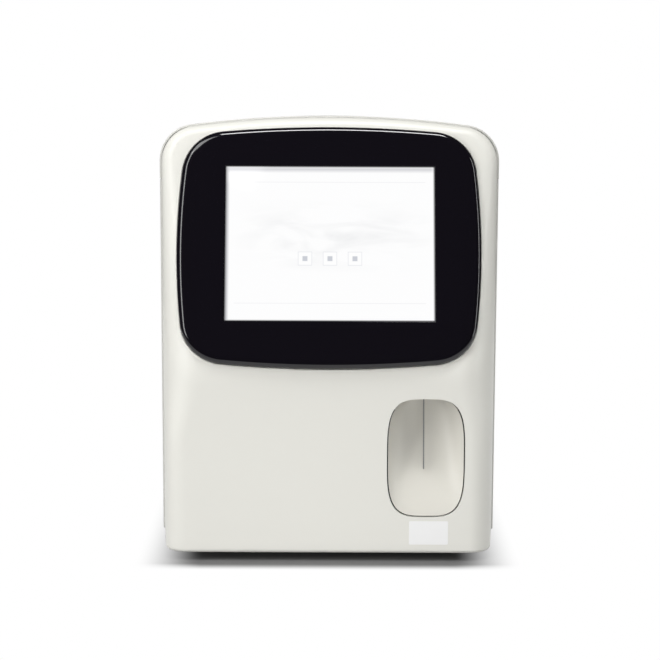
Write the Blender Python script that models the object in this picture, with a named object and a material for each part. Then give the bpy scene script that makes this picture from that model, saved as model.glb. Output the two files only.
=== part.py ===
"""Bench-top hematology analyzer: casing, display, sampling module, fluidics and electronics.

Metres, +Z up, front towards -Y, +X to the viewer's right. The origin is on the bench, under the
middle of everything that stands on it, rear fittings and display surround included.
"""
import math

import bmesh
import bpy
from mathutils import Matrix, Vector

# Overall sizes
CASE_WIDTH = 0.353
CASE_HEIGHT = 0.4505
CASE_DEPTH = 0.420
CREST_FALL = 0.0100
FOOT_RADIUS = 0.0130
COVER_CLEARANCE_BELOW = 0.0080

# Clearances
SEAT_GAP = 0.0003
SEAM_GAP = 0.0008
RUNNING_GAP = 0.0003
CUT_OVERRUN = 0.0100

# Front cover
COVER_WALL = 0.0030
CREST_ROOM = 0.0110
LIP_STEP = 0.0020
CREST_RADIUS = 1.100
TOP_CORNER_RADIUS = 0.038
SIDE_FILLET_LOW = 0.0230
SIDE_FILLET_SHOULDER = 0.0400
SHOULDER_FADE = 0.0800
SHOULDER_STEPS = 4
TOP_FILLET_SHARE = 0.80
LEAN_START_SHARE = 0.200 / 0.4485
BOTTOM_FILLET = 0.0040
BOTTOM_STEPS = 4
SIDE_DRAFT = math.radians(6.0)
FACE_LEAN = math.radians(17.0)
LEAN_BLEND_RADIUS = 0.100
FILLET_STEPS = 7
CORNER_STEPS = 7
CREST_STEPS = 4
BLEND_STEPS = 4

# Display surround
BEZEL_SIDE_MARGIN = 0.0215
BEZEL_TOP_MARGIN = 0.00945
BEZEL_BOTTOM = -0.0009
BEZEL_SIDE_BULGE = 0.0052
BEZEL_SIDE_ENDS = 0.0382
BEZEL_END_BULGE = 0.0040
BEZEL_END_ENDS = 0.0560
BEZEL_CORNER = 0.0460
BEZEL_PROUD = 0.00666
BEZEL_EDGE_ROUND = 0.0050
BEZEL_EDGE_WIDTH = 0.0085
BEZEL_SUNK = 0.0050
BEZEL_FIT = 0.0004
BEZEL_ARC_STEPS = 6
ROUND_STEPS = 4

# Display
SCREEN_SIDE_BORDER = 0.0494
SCREEN_TOP_BORDER = 0.0431
SCREEN_BOTTOM = 0.0480
SCREEN_OFFSET = 0.0010
WINDOW_MARGIN = 0.0010
GLASS_THICKNESS = 0.0018
GLASS_RECESS = 0.0004
LCD_SIDE_BORDER = 0.0124
LCD_END_BORDER = 0.00925
LCD_THICKNESS = 0.0056
CLAMP_PLATE = 0.0012
CLAMP_MARGIN = 0.0160

# Aspirate key and its recess
KEY_SIDE_INSET = 0.0772
KEY_LOW_Z = 0.0465
KEY_TOP_DROP = 0.0313
KEY_HALF_WIDTH = 0.0397
KEY_GAP = 0.0009
KEY_SKIN = 0.0035
KEY_DISH_DEPTH = 0.0320
KEY_HINGE_DROP = 0.0130
KEY_TRAVEL = math.radians(2.0)
KEY_HINGE_SETBACK = 0.0160
KEY_EAR_X = 0.0230
KEY_EAR_THICKNESS = 0.0040
KEY_EAR_HALF = 0.0034
PIN_RADIUS = 0.0015
OVAL_SIDES = 40
DISH_ROWS = 14
DISH_COLUMNS = 12
OVAL_POWER_SHARE = 3.6
DISH_SIDE_SHARE = 2.5
DISH_RISE_SHARE = 1.2

# Sampling module, along the needle's own line
PROBE_LEAN = math.radians(10.0)
PROBE_OFFSET = 0.0018
PROBE_TIP_SETBACK = 0.0120
PROBE_TIP_DROP = 0.0140
PROBE_RADIUS = 0.0007
PROBE_LIFT = 0.0700
ROOF_DROP = 0.0285
ROOF_THICKNESS = 0.0020
ROOF_HALF_WIDTH = 0.0185
ROOF_DEPTH = 0.0400
WIPE_ROOF_GAP = 0.0019
WIPE_LENGTH = 0.0125
WIPE_HALF_WIDTH = 0.0080
WIPE_FRONT = 0.0055
FRAME_SHEET = 0.0020
FRAME_HALF_WIDTH = 0.0240
FRAME_BACK = 0.0270
HUB_RADIUS = 0.0040
HUB_LENGTH = 0.0180
HUB_LIFTED_OFF = 0.0022
NEEDLE_ABOVE_HUB = 0.0080
CARRIAGE_LENGTH = 0.0140
CARRIAGE_HALF_WIDTH = 0.0215
ROD_RADIUS = 0.0025
ROD_SPACING = 0.0320
ROD_SETBACK = 0.0120
SCREW_RADIUS = 0.0025
SCREW_SETBACK = 0.0190
MOTOR_SIZE = 0.0280
MOTOR_LENGTH = 0.0300
HEAD_ROOM = 0.0040

# Chassis
SHEET = 0.0015
BASE_FLANGE = 0.0120
WALL_SIDE_INSET = 0.1375
WALL_SHEET = 0.0020
WALL_TOP_DROP = 0.0255
WALL_FACE_GAP = 0.0200
POST_WIDTH = 0.0150
POST_TOP_DROP = 0.0459
POST_INSET = 0.0200
FOOT_SIDE_INSET = 0.0585
FOOT_FRONT_INSET = 0.0420
FOOT_REAR_INSET = 0.0400

# Casing
CASE_WALL = 0.0025
CASE_TOP_HEIGHT = 0.0655
CASE_LIP = 0.0030
REAR_ROUND = 0.0040
PANEL_BOTTOM = 0.0110
PANEL_RETURN = 0.0100
HINGE_X_INSET = 0.0052
HINGE_Y_INSET = 0.0055
HINGE_PIN_RADIUS = 0.0020
HINGE_LUG_RADIUS = 0.0042
HINGE_LUG_HEIGHT = 0.0120
HINGE_LOW_Z = 0.0600
HINGE_HIGH_DROP = 0.0550
REAR_PANEL_INSET = 0.0125
REAR_PANEL_SETBACK = 0.0040
REAR_FLANGE = 0.0180
CATCH_SIZE = 0.0140
CATCH_Z = 0.2000
VENT_ROWS = 2
VENT_SLOTS = 11
VENT_WIDTH = 0.0030
VENT_LENGTH = 0.0280
VENT_PITCH = 0.0090
VENT_ROW_GAP = 0.0080
VENT_LOW_Z = 0.0650
VENT_REAR_INSET = 0.0700

# Rear connections
REAR_REACH = 0.0140
INLET_SIDE_INSET = 0.0585
INLET_Z = 0.0700
INLET_WIDTH = 0.0270
INLET_HEIGHT = 0.0200
INLET_DEPTH = 0.0220
INLET_PIN_WIDTH = 0.0022
INLET_PIN_HEIGHT = 0.0044
INLET_PIN_SHARES = ((-0.25, -0.12), (0.0, 0.12), (0.25, -0.12))
FLANGE_THICKNESS = 0.0020
SWITCH_OFFSET = 0.0400
SWITCH_WIDTH = 0.0130
SWITCH_HEIGHT = 0.0190
SWITCH_DEPTH = 0.0160
ROCKER_TILT = math.radians(8.0)
IO_WALL_OFFSET = 0.0840
IO_Z = 0.1500
IO_BOARD_THICKNESS = 0.0016
IO_BOARD_REACH = 0.0420
IO_CONNECTORS = ((-0.0300, 0.0145, 0.0070), (-0.0080, 0.0145, 0.0070),
                 (0.0150, 0.0160, 0.0135), (0.0450, 0.0310, 0.0110))
IO_BOARD_DEPTH = 0.0600
IO_WINDOW_MARGIN = 0.0045
IO_PLATE_LAP = 0.0045
IO_PLATE_THICKNESS = 0.0012
FAN_SIDE_INSET = 0.0815
FAN_DROP = 0.0850
FAN_SIZE = 0.0800
FAN_DEPTH = 0.0250
FAN_HUB_RADIUS = 0.0170
FAN_BORE_RADIUS = 0.0375
FAN_BLADES = 7
GUARD_WIRE = 0.0016
GUARD_RINGS = 3
PORT_SIDE_INSET = 0.0765
PORT_LOW_Z = 0.0900
PORT_PITCH = 0.0300
PORT_FLANGE_RADIUS = 0.0090
PORT_STEM_RADIUS = 0.0050
PORT_BORE_RADIUS = 0.0022

# Dosing syringes on the partition wall
SYRINGE_WALL_OFFSET = 0.0350
SAMPLE_Y = -0.0700
DILUENT_Y = -0.0300
SAMPLE_BORE = 0.0030
SAMPLE_BARREL = 0.0060
DILUENT_BORE = 0.0090
DILUENT_BARREL = 0.0120
BARREL_TOP = 0.3000
BARREL_LENGTH = 0.0800
PLUNGER_HEAD = 0.0080
PLUNGER_ROD_SHARE = 0.55
STROKE = 0.0500
CROSSHEAD = 0.0080
SYRINGE_SCREW_OFFSET = 0.0240
SYRINGE_SCREW_RADIUS = 0.0030
SYRINGE_FRAME_LOW = 0.1400
SYRINGE_PLATE = 0.0040
SYRINGE_MOTOR = 0.0340

# Baths, valves, vessel and pump
BATH_RADIUS = 0.0160
BATH_WALL = 0.0020
BATH_HEIGHT = 0.0500
BATH_BASE_Z = 0.2500
BATH_WALL_OFFSET = 0.0310
WBC_BATH_Y = 0.0300
RBC_BATH_Y = 0.0760
BATH_SHELF = 0.0030
VALVE_COUNT = 6
VALVE_PITCH = 0.0180
VALVE_FIRST_Y = 0.0150
VALVE_Z = 0.1850
VALVE_RADIUS = 0.0070
VALVE_LENGTH = 0.0280
MANIFOLD_DEPTH = 0.0160
MANIFOLD_HEIGHT = 0.0240
VESSEL_RADIUS = 0.0250
VESSEL_HEIGHT = 0.0900
VESSEL_WALL_OFFSET = 0.0410
VESSEL_REAR_INSET = 0.0664
VESSEL_NECK = 0.0080
PUMP_Y = 0.0500
PUMP_Z = 0.0750
PUMP_BODY = 0.0480
PUMP_DEPTH = 0.0360
PUMP_HEAD_RADIUS = 0.0230
PUMP_HEAD_DEPTH = 0.0140
PUMP_ROLLERS = 3

# Electronics
BOARD_THICKNESS = 0.0016
BOARD_STANDOFF = 0.0080
BOARD_FRONT_Y = -0.0400
BOARD_REAR_Y = 0.1300
BOARD_LOW_Z = 0.2000
BOARD_TOP_DROP = 0.0050
SUPPLY_WIDTH = 0.1000
SUPPLY_DEPTH = 0.1500
SUPPLY_HEIGHT = 0.0420
SUPPLY_INSET = 0.0150
SUPPLY_REAR_ROOM = 0.0400

# Places worked out from the sizes above
HALF_WIDTH = CASE_WIDTH / 2
COVER_HALF_WIDTH = HALF_WIDTH - LIP_STEP
COVER_HEIGHT = CASE_HEIGHT - LIP_STEP
CASE_SPLIT_Z = CASE_HEIGHT - CASE_TOP_HEIGHT
LEAN_START = COVER_HEIGHT * LEAN_START_SHARE
BEZEL_WIDTH = CASE_WIDTH - 2 * BEZEL_SIDE_MARGIN
BEZEL_HEIGHT = (COVER_HEIGHT - LEAN_START) / math.cos(FACE_LEAN) - BEZEL_TOP_MARGIN
BEZEL_SIDE_CHORD = BEZEL_HEIGHT / 2 - BEZEL_SIDE_ENDS
BEZEL_END_CHORD = BEZEL_WIDTH / 2 - BEZEL_END_ENDS
BEZEL_MIDDLE = BEZEL_BOTTOM + BEZEL_HEIGHT / 2
BEZEL_REACH = ((BEZEL_PROUD - BEZEL_EDGE_ROUND) * math.cos(FACE_LEAN)
               - (BEZEL_BOTTOM + BEZEL_EDGE_WIDTH) * math.sin(FACE_LEAN)
               + math.hypot(BEZEL_EDGE_ROUND * math.cos(FACE_LEAN), BEZEL_EDGE_WIDTH * math.sin(FACE_LEAN)))
SCREEN_WIDTH = BEZEL_WIDTH - 2 * SCREEN_SIDE_BORDER
SCREEN_HEIGHT = BEZEL_BOTTOM + BEZEL_HEIGHT - SCREEN_BOTTOM - SCREEN_TOP_BORDER
LCD_WIDTH = SCREEN_WIDTH + 2 * LCD_SIDE_BORDER
LCD_HEIGHT = SCREEN_HEIGHT + 2 * LCD_END_BORDER
FRONT_Y = (BEZEL_REACH - CASE_DEPTH - REAR_REACH) / 2
REAR_Y = FRONT_Y + CASE_DEPTH
SEAM_SETBACK = (COVER_HEIGHT - LEAN_START) * math.tan(FACE_LEAN) + CREST_ROOM
SEAM_Y = FRONT_Y + SEAM_SETBACK
CASE_FRONT_Y = SEAM_Y + SEAM_GAP
REAR_PANEL_Y = REAR_Y - REAR_PANEL_SETBACK
TOP_FILLET = CREST_ROOM * TOP_FILLET_SHARE
BASE_LOW = COVER_CLEARANCE_BELOW + COVER_WALL + SEAT_GAP
BASE_TOP = BASE_LOW + SHEET
WALL_X = HALF_WIDTH - WALL_SIDE_INSET
WALL_FACE = WALL_X + WALL_SHEET / 2
WALL_BACK = WALL_X - WALL_SHEET / 2
WALL_TOP = CASE_HEIGHT - WALL_TOP_DROP
KEY_CENTRE_X = HALF_WIDTH - KEY_SIDE_INSET
KEY_HALF_HEIGHT = (LEAN_START - KEY_TOP_DROP - KEY_LOW_Z) / 2
KEY_CENTRE_Z = KEY_LOW_Z + KEY_HALF_HEIGHT
KEY_HINGE_Z = LEAN_START - KEY_HINGE_DROP
ROOF_Z = LEAN_START - ROOF_DROP
PROBE_X = KEY_CENTRE_X - PROBE_OFFSET
PROBE_TIP_Z = KEY_CENTRE_Z - PROBE_TIP_DROP
WIPE_START = (ROOF_Z + ROOF_THICKNESS - PROBE_TIP_Z) / math.cos(PROBE_LEAN) + WIPE_ROOF_GAP
FOOT_X = HALF_WIDTH - FOOT_SIDE_INSET
HINGE_HIGH_Z = CASE_SPLIT_Z - HINGE_HIGH_DROP
INLET_X = INLET_SIDE_INSET - HALF_WIDTH
SWITCH_X = INLET_X + SWITCH_OFFSET
IO_X = WALL_X - IO_WALL_OFFSET
FAN_X = FAN_SIDE_INSET - HALF_WIDTH
FAN_Z = CASE_SPLIT_Z - FAN_DROP
PORT_X = HALF_WIDTH - PORT_SIDE_INSET
SYRINGE_X = WALL_X + SYRINGE_WALL_OFFSET
BATH_X = WALL_X + BATH_WALL_OFFSET
VESSEL_X = WALL_X + VESSEL_WALL_OFFSET
VESSEL_Y = REAR_PANEL_Y - VESSEL_REAR_INSET
BOARD_HIGH_Z = CASE_SPLIT_Z - BOARD_TOP_DROP


# Materials
def make_material(name, colour, roughness, metallic=0.0, alpha=1.0):
    """A Principled material; colour is linear RGB."""
    material = bpy.data.materials.new(name)
    material.use_nodes = True
    shader = material.node_tree.nodes["Principled BSDF"]
    shader.inputs["Base Color"].default_value = (*colour, 1.0)
    shader.inputs["Roughness"].default_value = roughness
    shader.inputs["Metallic"].default_value = metallic
    shader.inputs["Alpha"].default_value = alpha
    material.diffuse_color = (*colour, alpha)
    return material


FINISHES = {
    "warm_white_plastic": ((0.745, 0.745, 0.701), 0.42),
    "key_plastic": ((0.640, 0.631, 0.578), 0.42),
    "black_gloss": ((0.005, 0.004, 0.007), 0.08),
    "screen_glass": ((0.930, 0.930, 0.930), 0.10),
    "black_plastic": ((0.020, 0.020, 0.022), 0.45),
    "rubber": ((0.018, 0.018, 0.018), 0.80),
    "painted_sheet": ((0.700, 0.700, 0.665), 0.50),
    "zinc_sheet": ((0.500, 0.510, 0.520), 0.38, 1.0),
    "steel": ((0.560, 0.570, 0.580), 0.25, 1.0),
    "aluminium": ((0.620, 0.630, 0.640), 0.35, 1.0),
    "clear_plastic": ((0.760, 0.800, 0.820), 0.12, 0.0, 0.5),
    "white_polymer": ((0.800, 0.800, 0.780), 0.40),
    "board_green": ((0.020, 0.130, 0.050), 0.40),
    "blue_plastic": ((0.030, 0.090, 0.350), 0.45),
    "red_plastic": ((0.420, 0.020, 0.020), 0.45),
    "yellow_plastic": ((0.600, 0.400, 0.030), 0.45),
}
MATERIALS = {}


# Shape helpers: each adds closed forms to a bmesh
def add_box(mesh, low, high):
    """A box between two corners."""
    low, high = Vector(low), Vector(high)
    size = high - low
    place = Matrix.Translation((low + high) / 2) @ Matrix.Diagonal((*size, 1.0))
    bmesh.ops.create_cube(mesh, size=1.0, matrix=place)


def add_rod(mesh, start, end, radius, sides=16, end_radius=None):
    """A round rod, or a cone frustum, from one point to another."""
    start, end = Vector(start), Vector(end)
    along = end - start
    turn = Vector((0, 0, 1)).rotation_difference(along).to_matrix().to_4x4()
    place = Matrix.Translation((start + end) / 2) @ turn
    bmesh.ops.create_cone(mesh, cap_ends=True, segments=sides, radius1=radius,
                          radius2=radius if end_radius is None else end_radius,
                          depth=along.length, matrix=place)


def add_turned(mesh, profile, centre, axis, sides=24):
    """A profile of (radius, height) points turned about an axis through centre."""
    turn = Vector((0, 0, 1)).rotation_difference(Vector(axis)).to_matrix().to_4x4()
    place = Matrix.Translation(centre) @ turn
    points = [mesh.verts.new(place @ Vector((radius, 0, height))) for radius, height in profile]
    closed = list(zip(points, points[1:] + points[:1]))
    on_axis = {vert for vert, (radius, _) in zip(points, profile) if radius == 0}
    edges = [mesh.edges.new(pair) for pair in closed if not on_axis.issuperset(pair)]
    bmesh.ops.spin(mesh, geom=points + edges, cent=centre, axis=place.to_3x3() @ Vector((0, 0, 1)),
                          angle=2 * math.pi, steps=sides, use_duplicate=False)
    bmesh.ops.remove_doubles(mesh, verts=mesh.verts, dist=SEAT_GAP / 100)
    bmesh.ops.delete(mesh, geom=[vert for vert in mesh.verts if not vert.link_faces], context="VERTS")


def add_prism(mesh, outline, offset):
    """A flat outline of 3-D points carried along an offset."""
    base = mesh.faces.new([mesh.verts.new(point) for point in outline])
    moved = bmesh.ops.extrude_face_region(mesh, geom=[base])["geom"]
    verts = [item for item in moved if isinstance(item, bmesh.types.BMVert)]
    bmesh.ops.translate(mesh, verts=verts, vec=Vector(offset))


def add_rings(mesh, rings):
    """Quads between closed rings of matching points, with flat ends."""
    loops = [[mesh.verts.new(point) for point in ring] for ring in rings]
    for near, far in zip(loops, loops[1:]):
        add_strip(mesh, near + near[:1], far + far[:1])
    mesh.faces.new(loops[0])
    mesh.faces.new(loops[-1])


def add_strip(mesh, near, far):
    """Quads between two rows of matching vertices."""
    for index in range(len(near) - 1):
        mesh.faces.new((near[index], near[index + 1], far[index + 1], far[index]))


def shape(*makers):
    """A bmesh filled by the given (function, arguments...) tuples."""
    mesh = bmesh.new()
    for maker, *arguments in makers:
        maker(mesh, *arguments)
    return mesh


def make_object(name, mesh, finish, origin=(0, 0, 0), smooth=True, transform=None):
    """Turn a bmesh into a named object whose origin is at the given world point."""
    if transform is not None:
        bmesh.ops.transform(mesh, matrix=transform, verts=mesh.verts)
    bmesh.ops.recalc_face_normals(mesh, faces=mesh.faces)
    bmesh.ops.translate(mesh, verts=mesh.verts, vec=-Vector(origin))
    data = bpy.data.meshes.new(name)
    mesh.to_mesh(data)
    mesh.free()
    if smooth:
        data.shade_smooth()
        data.set_sharp_from_angle(angle=math.radians(30.0))
    data.materials.append(MATERIALS[finish])
    obj = bpy.data.objects.new(name, data)
    obj.location = origin
    bpy.context.scene.collection.objects.link(obj)
    return obj


def combine(obj, mesh, operation, transform=None):
    """Cut a hidden tool out of an object, or join it on."""
    tool = make_object(f"{obj.name}_{operation.lower()}_{len(obj.modifiers)}", mesh, "steel",
                       smooth=False, transform=transform)
    tool.hide_render = True
    tool.display_type = "WIRE"
    modifier = obj.modifiers.new(operation.lower(), "BOOLEAN")
    modifier.operation = operation
    modifier.object = tool
    modifier.solver = "EXACT"


def cut(obj, mesh, transform=None):
    """Take a shape away from an object."""
    combine(obj, mesh, "DIFFERENCE", transform)


def join(obj, mesh, transform=None):
    """Add a shape to an object."""
    combine(obj, mesh, "UNION", transform)


# Front outline and face
def face_y(z):
    """The front face's Y at a height: upright, an arc, then leaning back."""
    tangent = LEAN_BLEND_RADIUS * math.tan(FACE_LEAN / 2)
    arc_low = LEAN_START - tangent
    arc_high = LEAN_START + tangent * math.cos(FACE_LEAN)
    if z <= arc_low:
        return FRONT_Y
    if z >= arc_high:
        return FRONT_Y + (z - LEAN_START) * math.tan(FACE_LEAN)
    rise = z - arc_low
    return FRONT_Y + LEAN_BLEND_RADIUS - math.sqrt(LEAN_BLEND_RADIUS ** 2 - rise ** 2)


def on_face(x, up, out):
    """A point by its place on the leaning plane: across, up the slope, and proud of it."""
    return Vector((x, FRONT_Y + up * math.sin(FACE_LEAN) - out * math.cos(FACE_LEAN),
                   LEAN_START + up * math.cos(FACE_LEAN) + out * math.sin(FACE_LEAN)))


def crown_corner(half_width, height):
    """The top corner arc's centre and the angle at which it meets the crest arc."""
    crest_z = height - CREST_RADIUS
    reach = CREST_RADIUS - TOP_CORNER_RADIUS
    across = half_width - TOP_CORNER_RADIUS
    up = math.sqrt(reach ** 2 - across ** 2)
    return across, crest_z + up, math.atan2(up, across)


def upper_outline(half_width, height):
    """Right half of the top: corner arc, then crest up to but not including the middle."""
    across, up, meet = crown_corner(half_width, height)
    points = []
    for step in range(CORNER_STEPS + 1):
        angle = meet * step / CORNER_STEPS
        normal = (math.cos(angle), math.sin(angle))
        points.append((across + TOP_CORNER_RADIUS * normal[0], up + TOP_CORNER_RADIUS * normal[1], normal))
    for step in range(1, CREST_STEPS):
        angle = meet + (math.pi / 2 - meet) * step / CREST_STEPS
        normal = (math.cos(angle), math.sin(angle))
        points.append((CREST_RADIUS * normal[0], height - CREST_RADIUS + CREST_RADIUS * normal[1], normal))
    return points


def cover_outline():
    """Right half of the front cover's outline, from above its bottom edge to just short of the crest."""
    lowest = COVER_CLEARANCE_BELOW + BOTTOM_FILLET
    tangent = LEAN_BLEND_RADIUS * math.tan(FACE_LEAN / 2)
    upper = upper_outline(COVER_HALF_WIDTH, COVER_HEIGHT)
    blend_low = LEAN_START - tangent
    fade_low = LEAN_START - SHOULDER_FADE
    heights = [lowest + (fade_low - lowest) * step / 2 for step in range(2)]
    heights += [fade_low + (blend_low - fade_low) * step / SHOULDER_STEPS for step in range(SHOULDER_STEPS)]
    heights += [blend_low + tangent * 2 * step / BLEND_STEPS for step in range(BLEND_STEPS + 1)]
    last, first = heights[-1], upper[0][1]
    heights += [last + (first - last) * step / 4 for step in range(1, 4)]
    return [(COVER_HALF_WIDTH, z, (1.0, 0.0)) for z in heights] + upper


def side_fillet(z):
    """The front edge's rounding at a height, widest at the shoulder where the face starts to lean."""
    share = (SEAM_Y - face_y(z) - CREST_ROOM) / (SEAM_SETBACK - CREST_ROOM)
    rounding = TOP_FILLET + (SIDE_FILLET_SHOULDER - TOP_FILLET) * max(share, 0.0)
    fade = min(max((LEAN_START - z) / SHOULDER_FADE, 0.0), 1.0)
    return rounding + (SIDE_FILLET_LOW - SIDE_FILLET_SHOULDER) * fade * fade * (3 - 2 * fade)


def cover_ring(points, angle):
    """One ring of the front cover, at an angle round its front fillet (90 degrees is the face)."""
    ring = []
    for x, z, (across, up) in points:
        side = side_fillet(z)
        depth = math.hypot(across * side, up * TOP_FILLET)
        turn = math.cos(SIDE_DRAFT) - math.cos(angle)
        wall = SEAM_Y - face_y(z) - depth
        drawn_in = max(wall, 0.0) * math.tan(SIDE_DRAFT)
        ring_x = x - across * (side * turn + drawn_in)
        ring_z = z - up * TOP_FILLET * turn
        ring.append((ring_x, face_y(ring_z) + depth * (1 - math.sin(angle)), ring_z))
    return ring


def mirrored(ring, crest_point):
    """A closed ring from its right half, the point on the middle line and the left half."""
    left = [(-x, y, z) for x, y, z in reversed(ring)]
    return ring + [crest_point] + left


def cover_crest(angle):
    """The ring's point on the middle line."""
    turn = math.cos(SIDE_DRAFT) - math.cos(angle)
    z = COVER_HEIGHT - TOP_FILLET * turn
    return (0.0, face_y(z) + TOP_FILLET * (1 - math.sin(angle)), z)


def oval(half_width, half_height, sides):
    """Points (x, z) of the key's rounded oval about its own centre."""
    points = []
    for step in range(sides):
        angle = 2 * math.pi * step / sides
        cosine, sine = math.cos(angle), math.sin(angle)
        x = half_width * math.copysign(abs(cosine) ** (2 / OVAL_POWER_SHARE), cosine)
        z = half_height * math.copysign(abs(sine) ** (2 / OVAL_POWER_SHARE), sine)
        points.append((x, z))
    return points


def arc_rectangle(grow=0.0):
    """Points (x, v, normal) of the bezel's outline: bulged sides and round corners."""
    side_radius = (BEZEL_SIDE_CHORD ** 2 + BEZEL_SIDE_BULGE ** 2) / (2 * BEZEL_SIDE_BULGE)
    end_radius = (BEZEL_END_CHORD ** 2 + BEZEL_END_BULGE ** 2) / (2 * BEZEL_END_BULGE)
    side_centre = BEZEL_WIDTH / 2 - side_radius
    end_centre = BEZEL_HEIGHT / 2 - end_radius
    reach_side, reach_end = side_radius - BEZEL_CORNER, end_radius - BEZEL_CORNER
    gap = Vector((-side_centre, end_centre))
    apart = gap.length
    along = (apart ** 2 + reach_side ** 2 - reach_end ** 2) / (2 * apart)
    off = math.sqrt(reach_side ** 2 - along ** 2)
    unit = gap / apart
    corner = Vector((side_centre, 0)) + unit * along + Vector((-unit.y, unit.x)) * off
    low = math.atan2(corner.y, corner.x - side_centre)
    high = math.atan2(corner.y - end_centre, corner.x)
    quarter = []
    for centre, radius, first, last, steps in (
            ((side_centre, 0), side_radius, 0.0, low, 2),
            (tuple(corner), BEZEL_CORNER, low, high, BEZEL_ARC_STEPS),
            ((0, end_centre), end_radius, high, math.pi / 2, 3)):
        for step in range(steps):
            angle = first + (last - first) * step / steps
            normal = (math.cos(angle), math.sin(angle))
            quarter.append((centre[0] + (radius + grow) * normal[0],
                            centre[1] + (radius + grow) * normal[1], normal))
    top = (0.0, BEZEL_HEIGHT / 2 + grow, (0.0, 1.0))
    left = [(-x, v, (-n[0], n[1])) for x, v, n in reversed(quarter[1:])]
    upper = quarter + [top] + left
    side = (-(BEZEL_WIDTH / 2 + grow), 0.0, (-1.0, 0.0))
    lower = [(-x, -v, (-n[0], -n[1])) for x, v, n in upper[1:]]
    return upper + [side] + lower


def bezel_ring(inset, out, grow=0.0):
    """The bezel's outline drawn in by an inset and lifted off the leaning plane."""
    return [on_face(x - normal[0] * inset, BEZEL_MIDDLE + v - normal[1] * inset, out)
            for x, v, normal in arc_rectangle(grow)]


def face_rectangle(width, height, bottom, out):
    """Four corners of a rectangle parallel to the leaning plane."""
    left, right = SCREEN_OFFSET - width / 2, SCREEN_OFFSET + width / 2
    return [on_face(x, v, out) for x, v in
            ((left, bottom), (right, bottom), (right, bottom + height), (left, bottom + height))]


FACE_NORMAL = Vector((0, -math.cos(FACE_LEAN), math.sin(FACE_LEAN)))


def make_front_cover():
    """The moulded front shell, with openings for the display, the key and the front feet."""
    half = cover_outline()
    angles = [math.pi / 2 + (SIDE_DRAFT - math.pi / 2) * step / FILLET_STEPS
              for step in range(FILLET_STEPS + 1)]
    rings = [mirrored(cover_ring(half, angle), cover_crest(angle)) for angle in angles]
    seam_half = [(x, SEAM_Y, z) for x, z, _ in half]
    rings.append(mirrored(seam_half, (0.0, SEAM_Y, COVER_HEIGHT)))
    mesh = bmesh.new()
    loops = [[mesh.verts.new(point) for point in ring] for ring in rings]
    for near, far in zip(loops, loops[1:]):
        add_strip(mesh, near, far)
    face = loops[0]
    count = len(half)
    add_strip(mesh, face[:count], face[:count:-1])
    mesh.faces.new((face[count - 1], face[count], face[count + 1]))

    lean = [(math.cos(angle), -math.sin(angle)) for angle in angles] + [(1.0, 0.0)]
    edge = [(loop[0], normal) for loop, normal in zip(loops[::-1], lean[::-1])]
    edge += [(loop[-1], (-normal[0], normal[1])) for loop, normal in zip(loops, lean)]
    row = [vert for vert, _ in edge]
    for step in range(1, BOTTOM_STEPS + 1):
        angle = math.pi / 2 * step / BOTTOM_STEPS
        inset = BOTTOM_FILLET * (1 - math.cos(angle))
        lower = [mesh.verts.new((vert.co.x - normal[0] * inset, vert.co.y - normal[1] * inset,
                                 vert.co.z - BOTTOM_FILLET * math.sin(angle))) for vert, normal in edge]
        add_strip(mesh, row, lower)
        row = lower
    mesh.faces.new(row)
    bmesh.ops.recalc_face_normals(mesh, faces=mesh.faces)
    cover = make_object("front_cover", mesh, "warm_white_plastic")
    foremost = min(cover.data.polygons, key=lambda polygon: polygon.center.y)
    if foremost.normal.y > 0:
        cover.data.flip_normals()
    wall = cover.modifiers.new("wall", "SOLIDIFY")
    wall.thickness = COVER_WALL
    wall.offset = -1
    wall.use_even_offset = True
    window = shape((add_rings, [bezel_ring(0.0, -LEAN_BLEND_RADIUS, BEZEL_FIT),
                                bezel_ring(0.0, LEAN_BLEND_RADIUS, BEZEL_FIT)]))
    cut(cover, window)
    outline = [(KEY_CENTRE_X + x, FRONT_Y - CUT_OVERRUN, KEY_CENTRE_Z + z)
               for x, z in oval(KEY_HALF_WIDTH, KEY_HALF_HEIGHT, OVAL_SIDES)]
    openings = shape((add_prism, outline, (0, 2 * CUT_OVERRUN, 0)))
    for side in (-1, 1):
        add_rod(openings, (side * FOOT_X, FRONT_Y + FOOT_FRONT_INSET, 0),
                (side * FOOT_X, FRONT_Y + FOOT_FRONT_INSET, BASE_LOW), FOOT_RADIUS + SEAM_GAP, 24)
    cut(cover, openings)
    return cover


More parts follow.
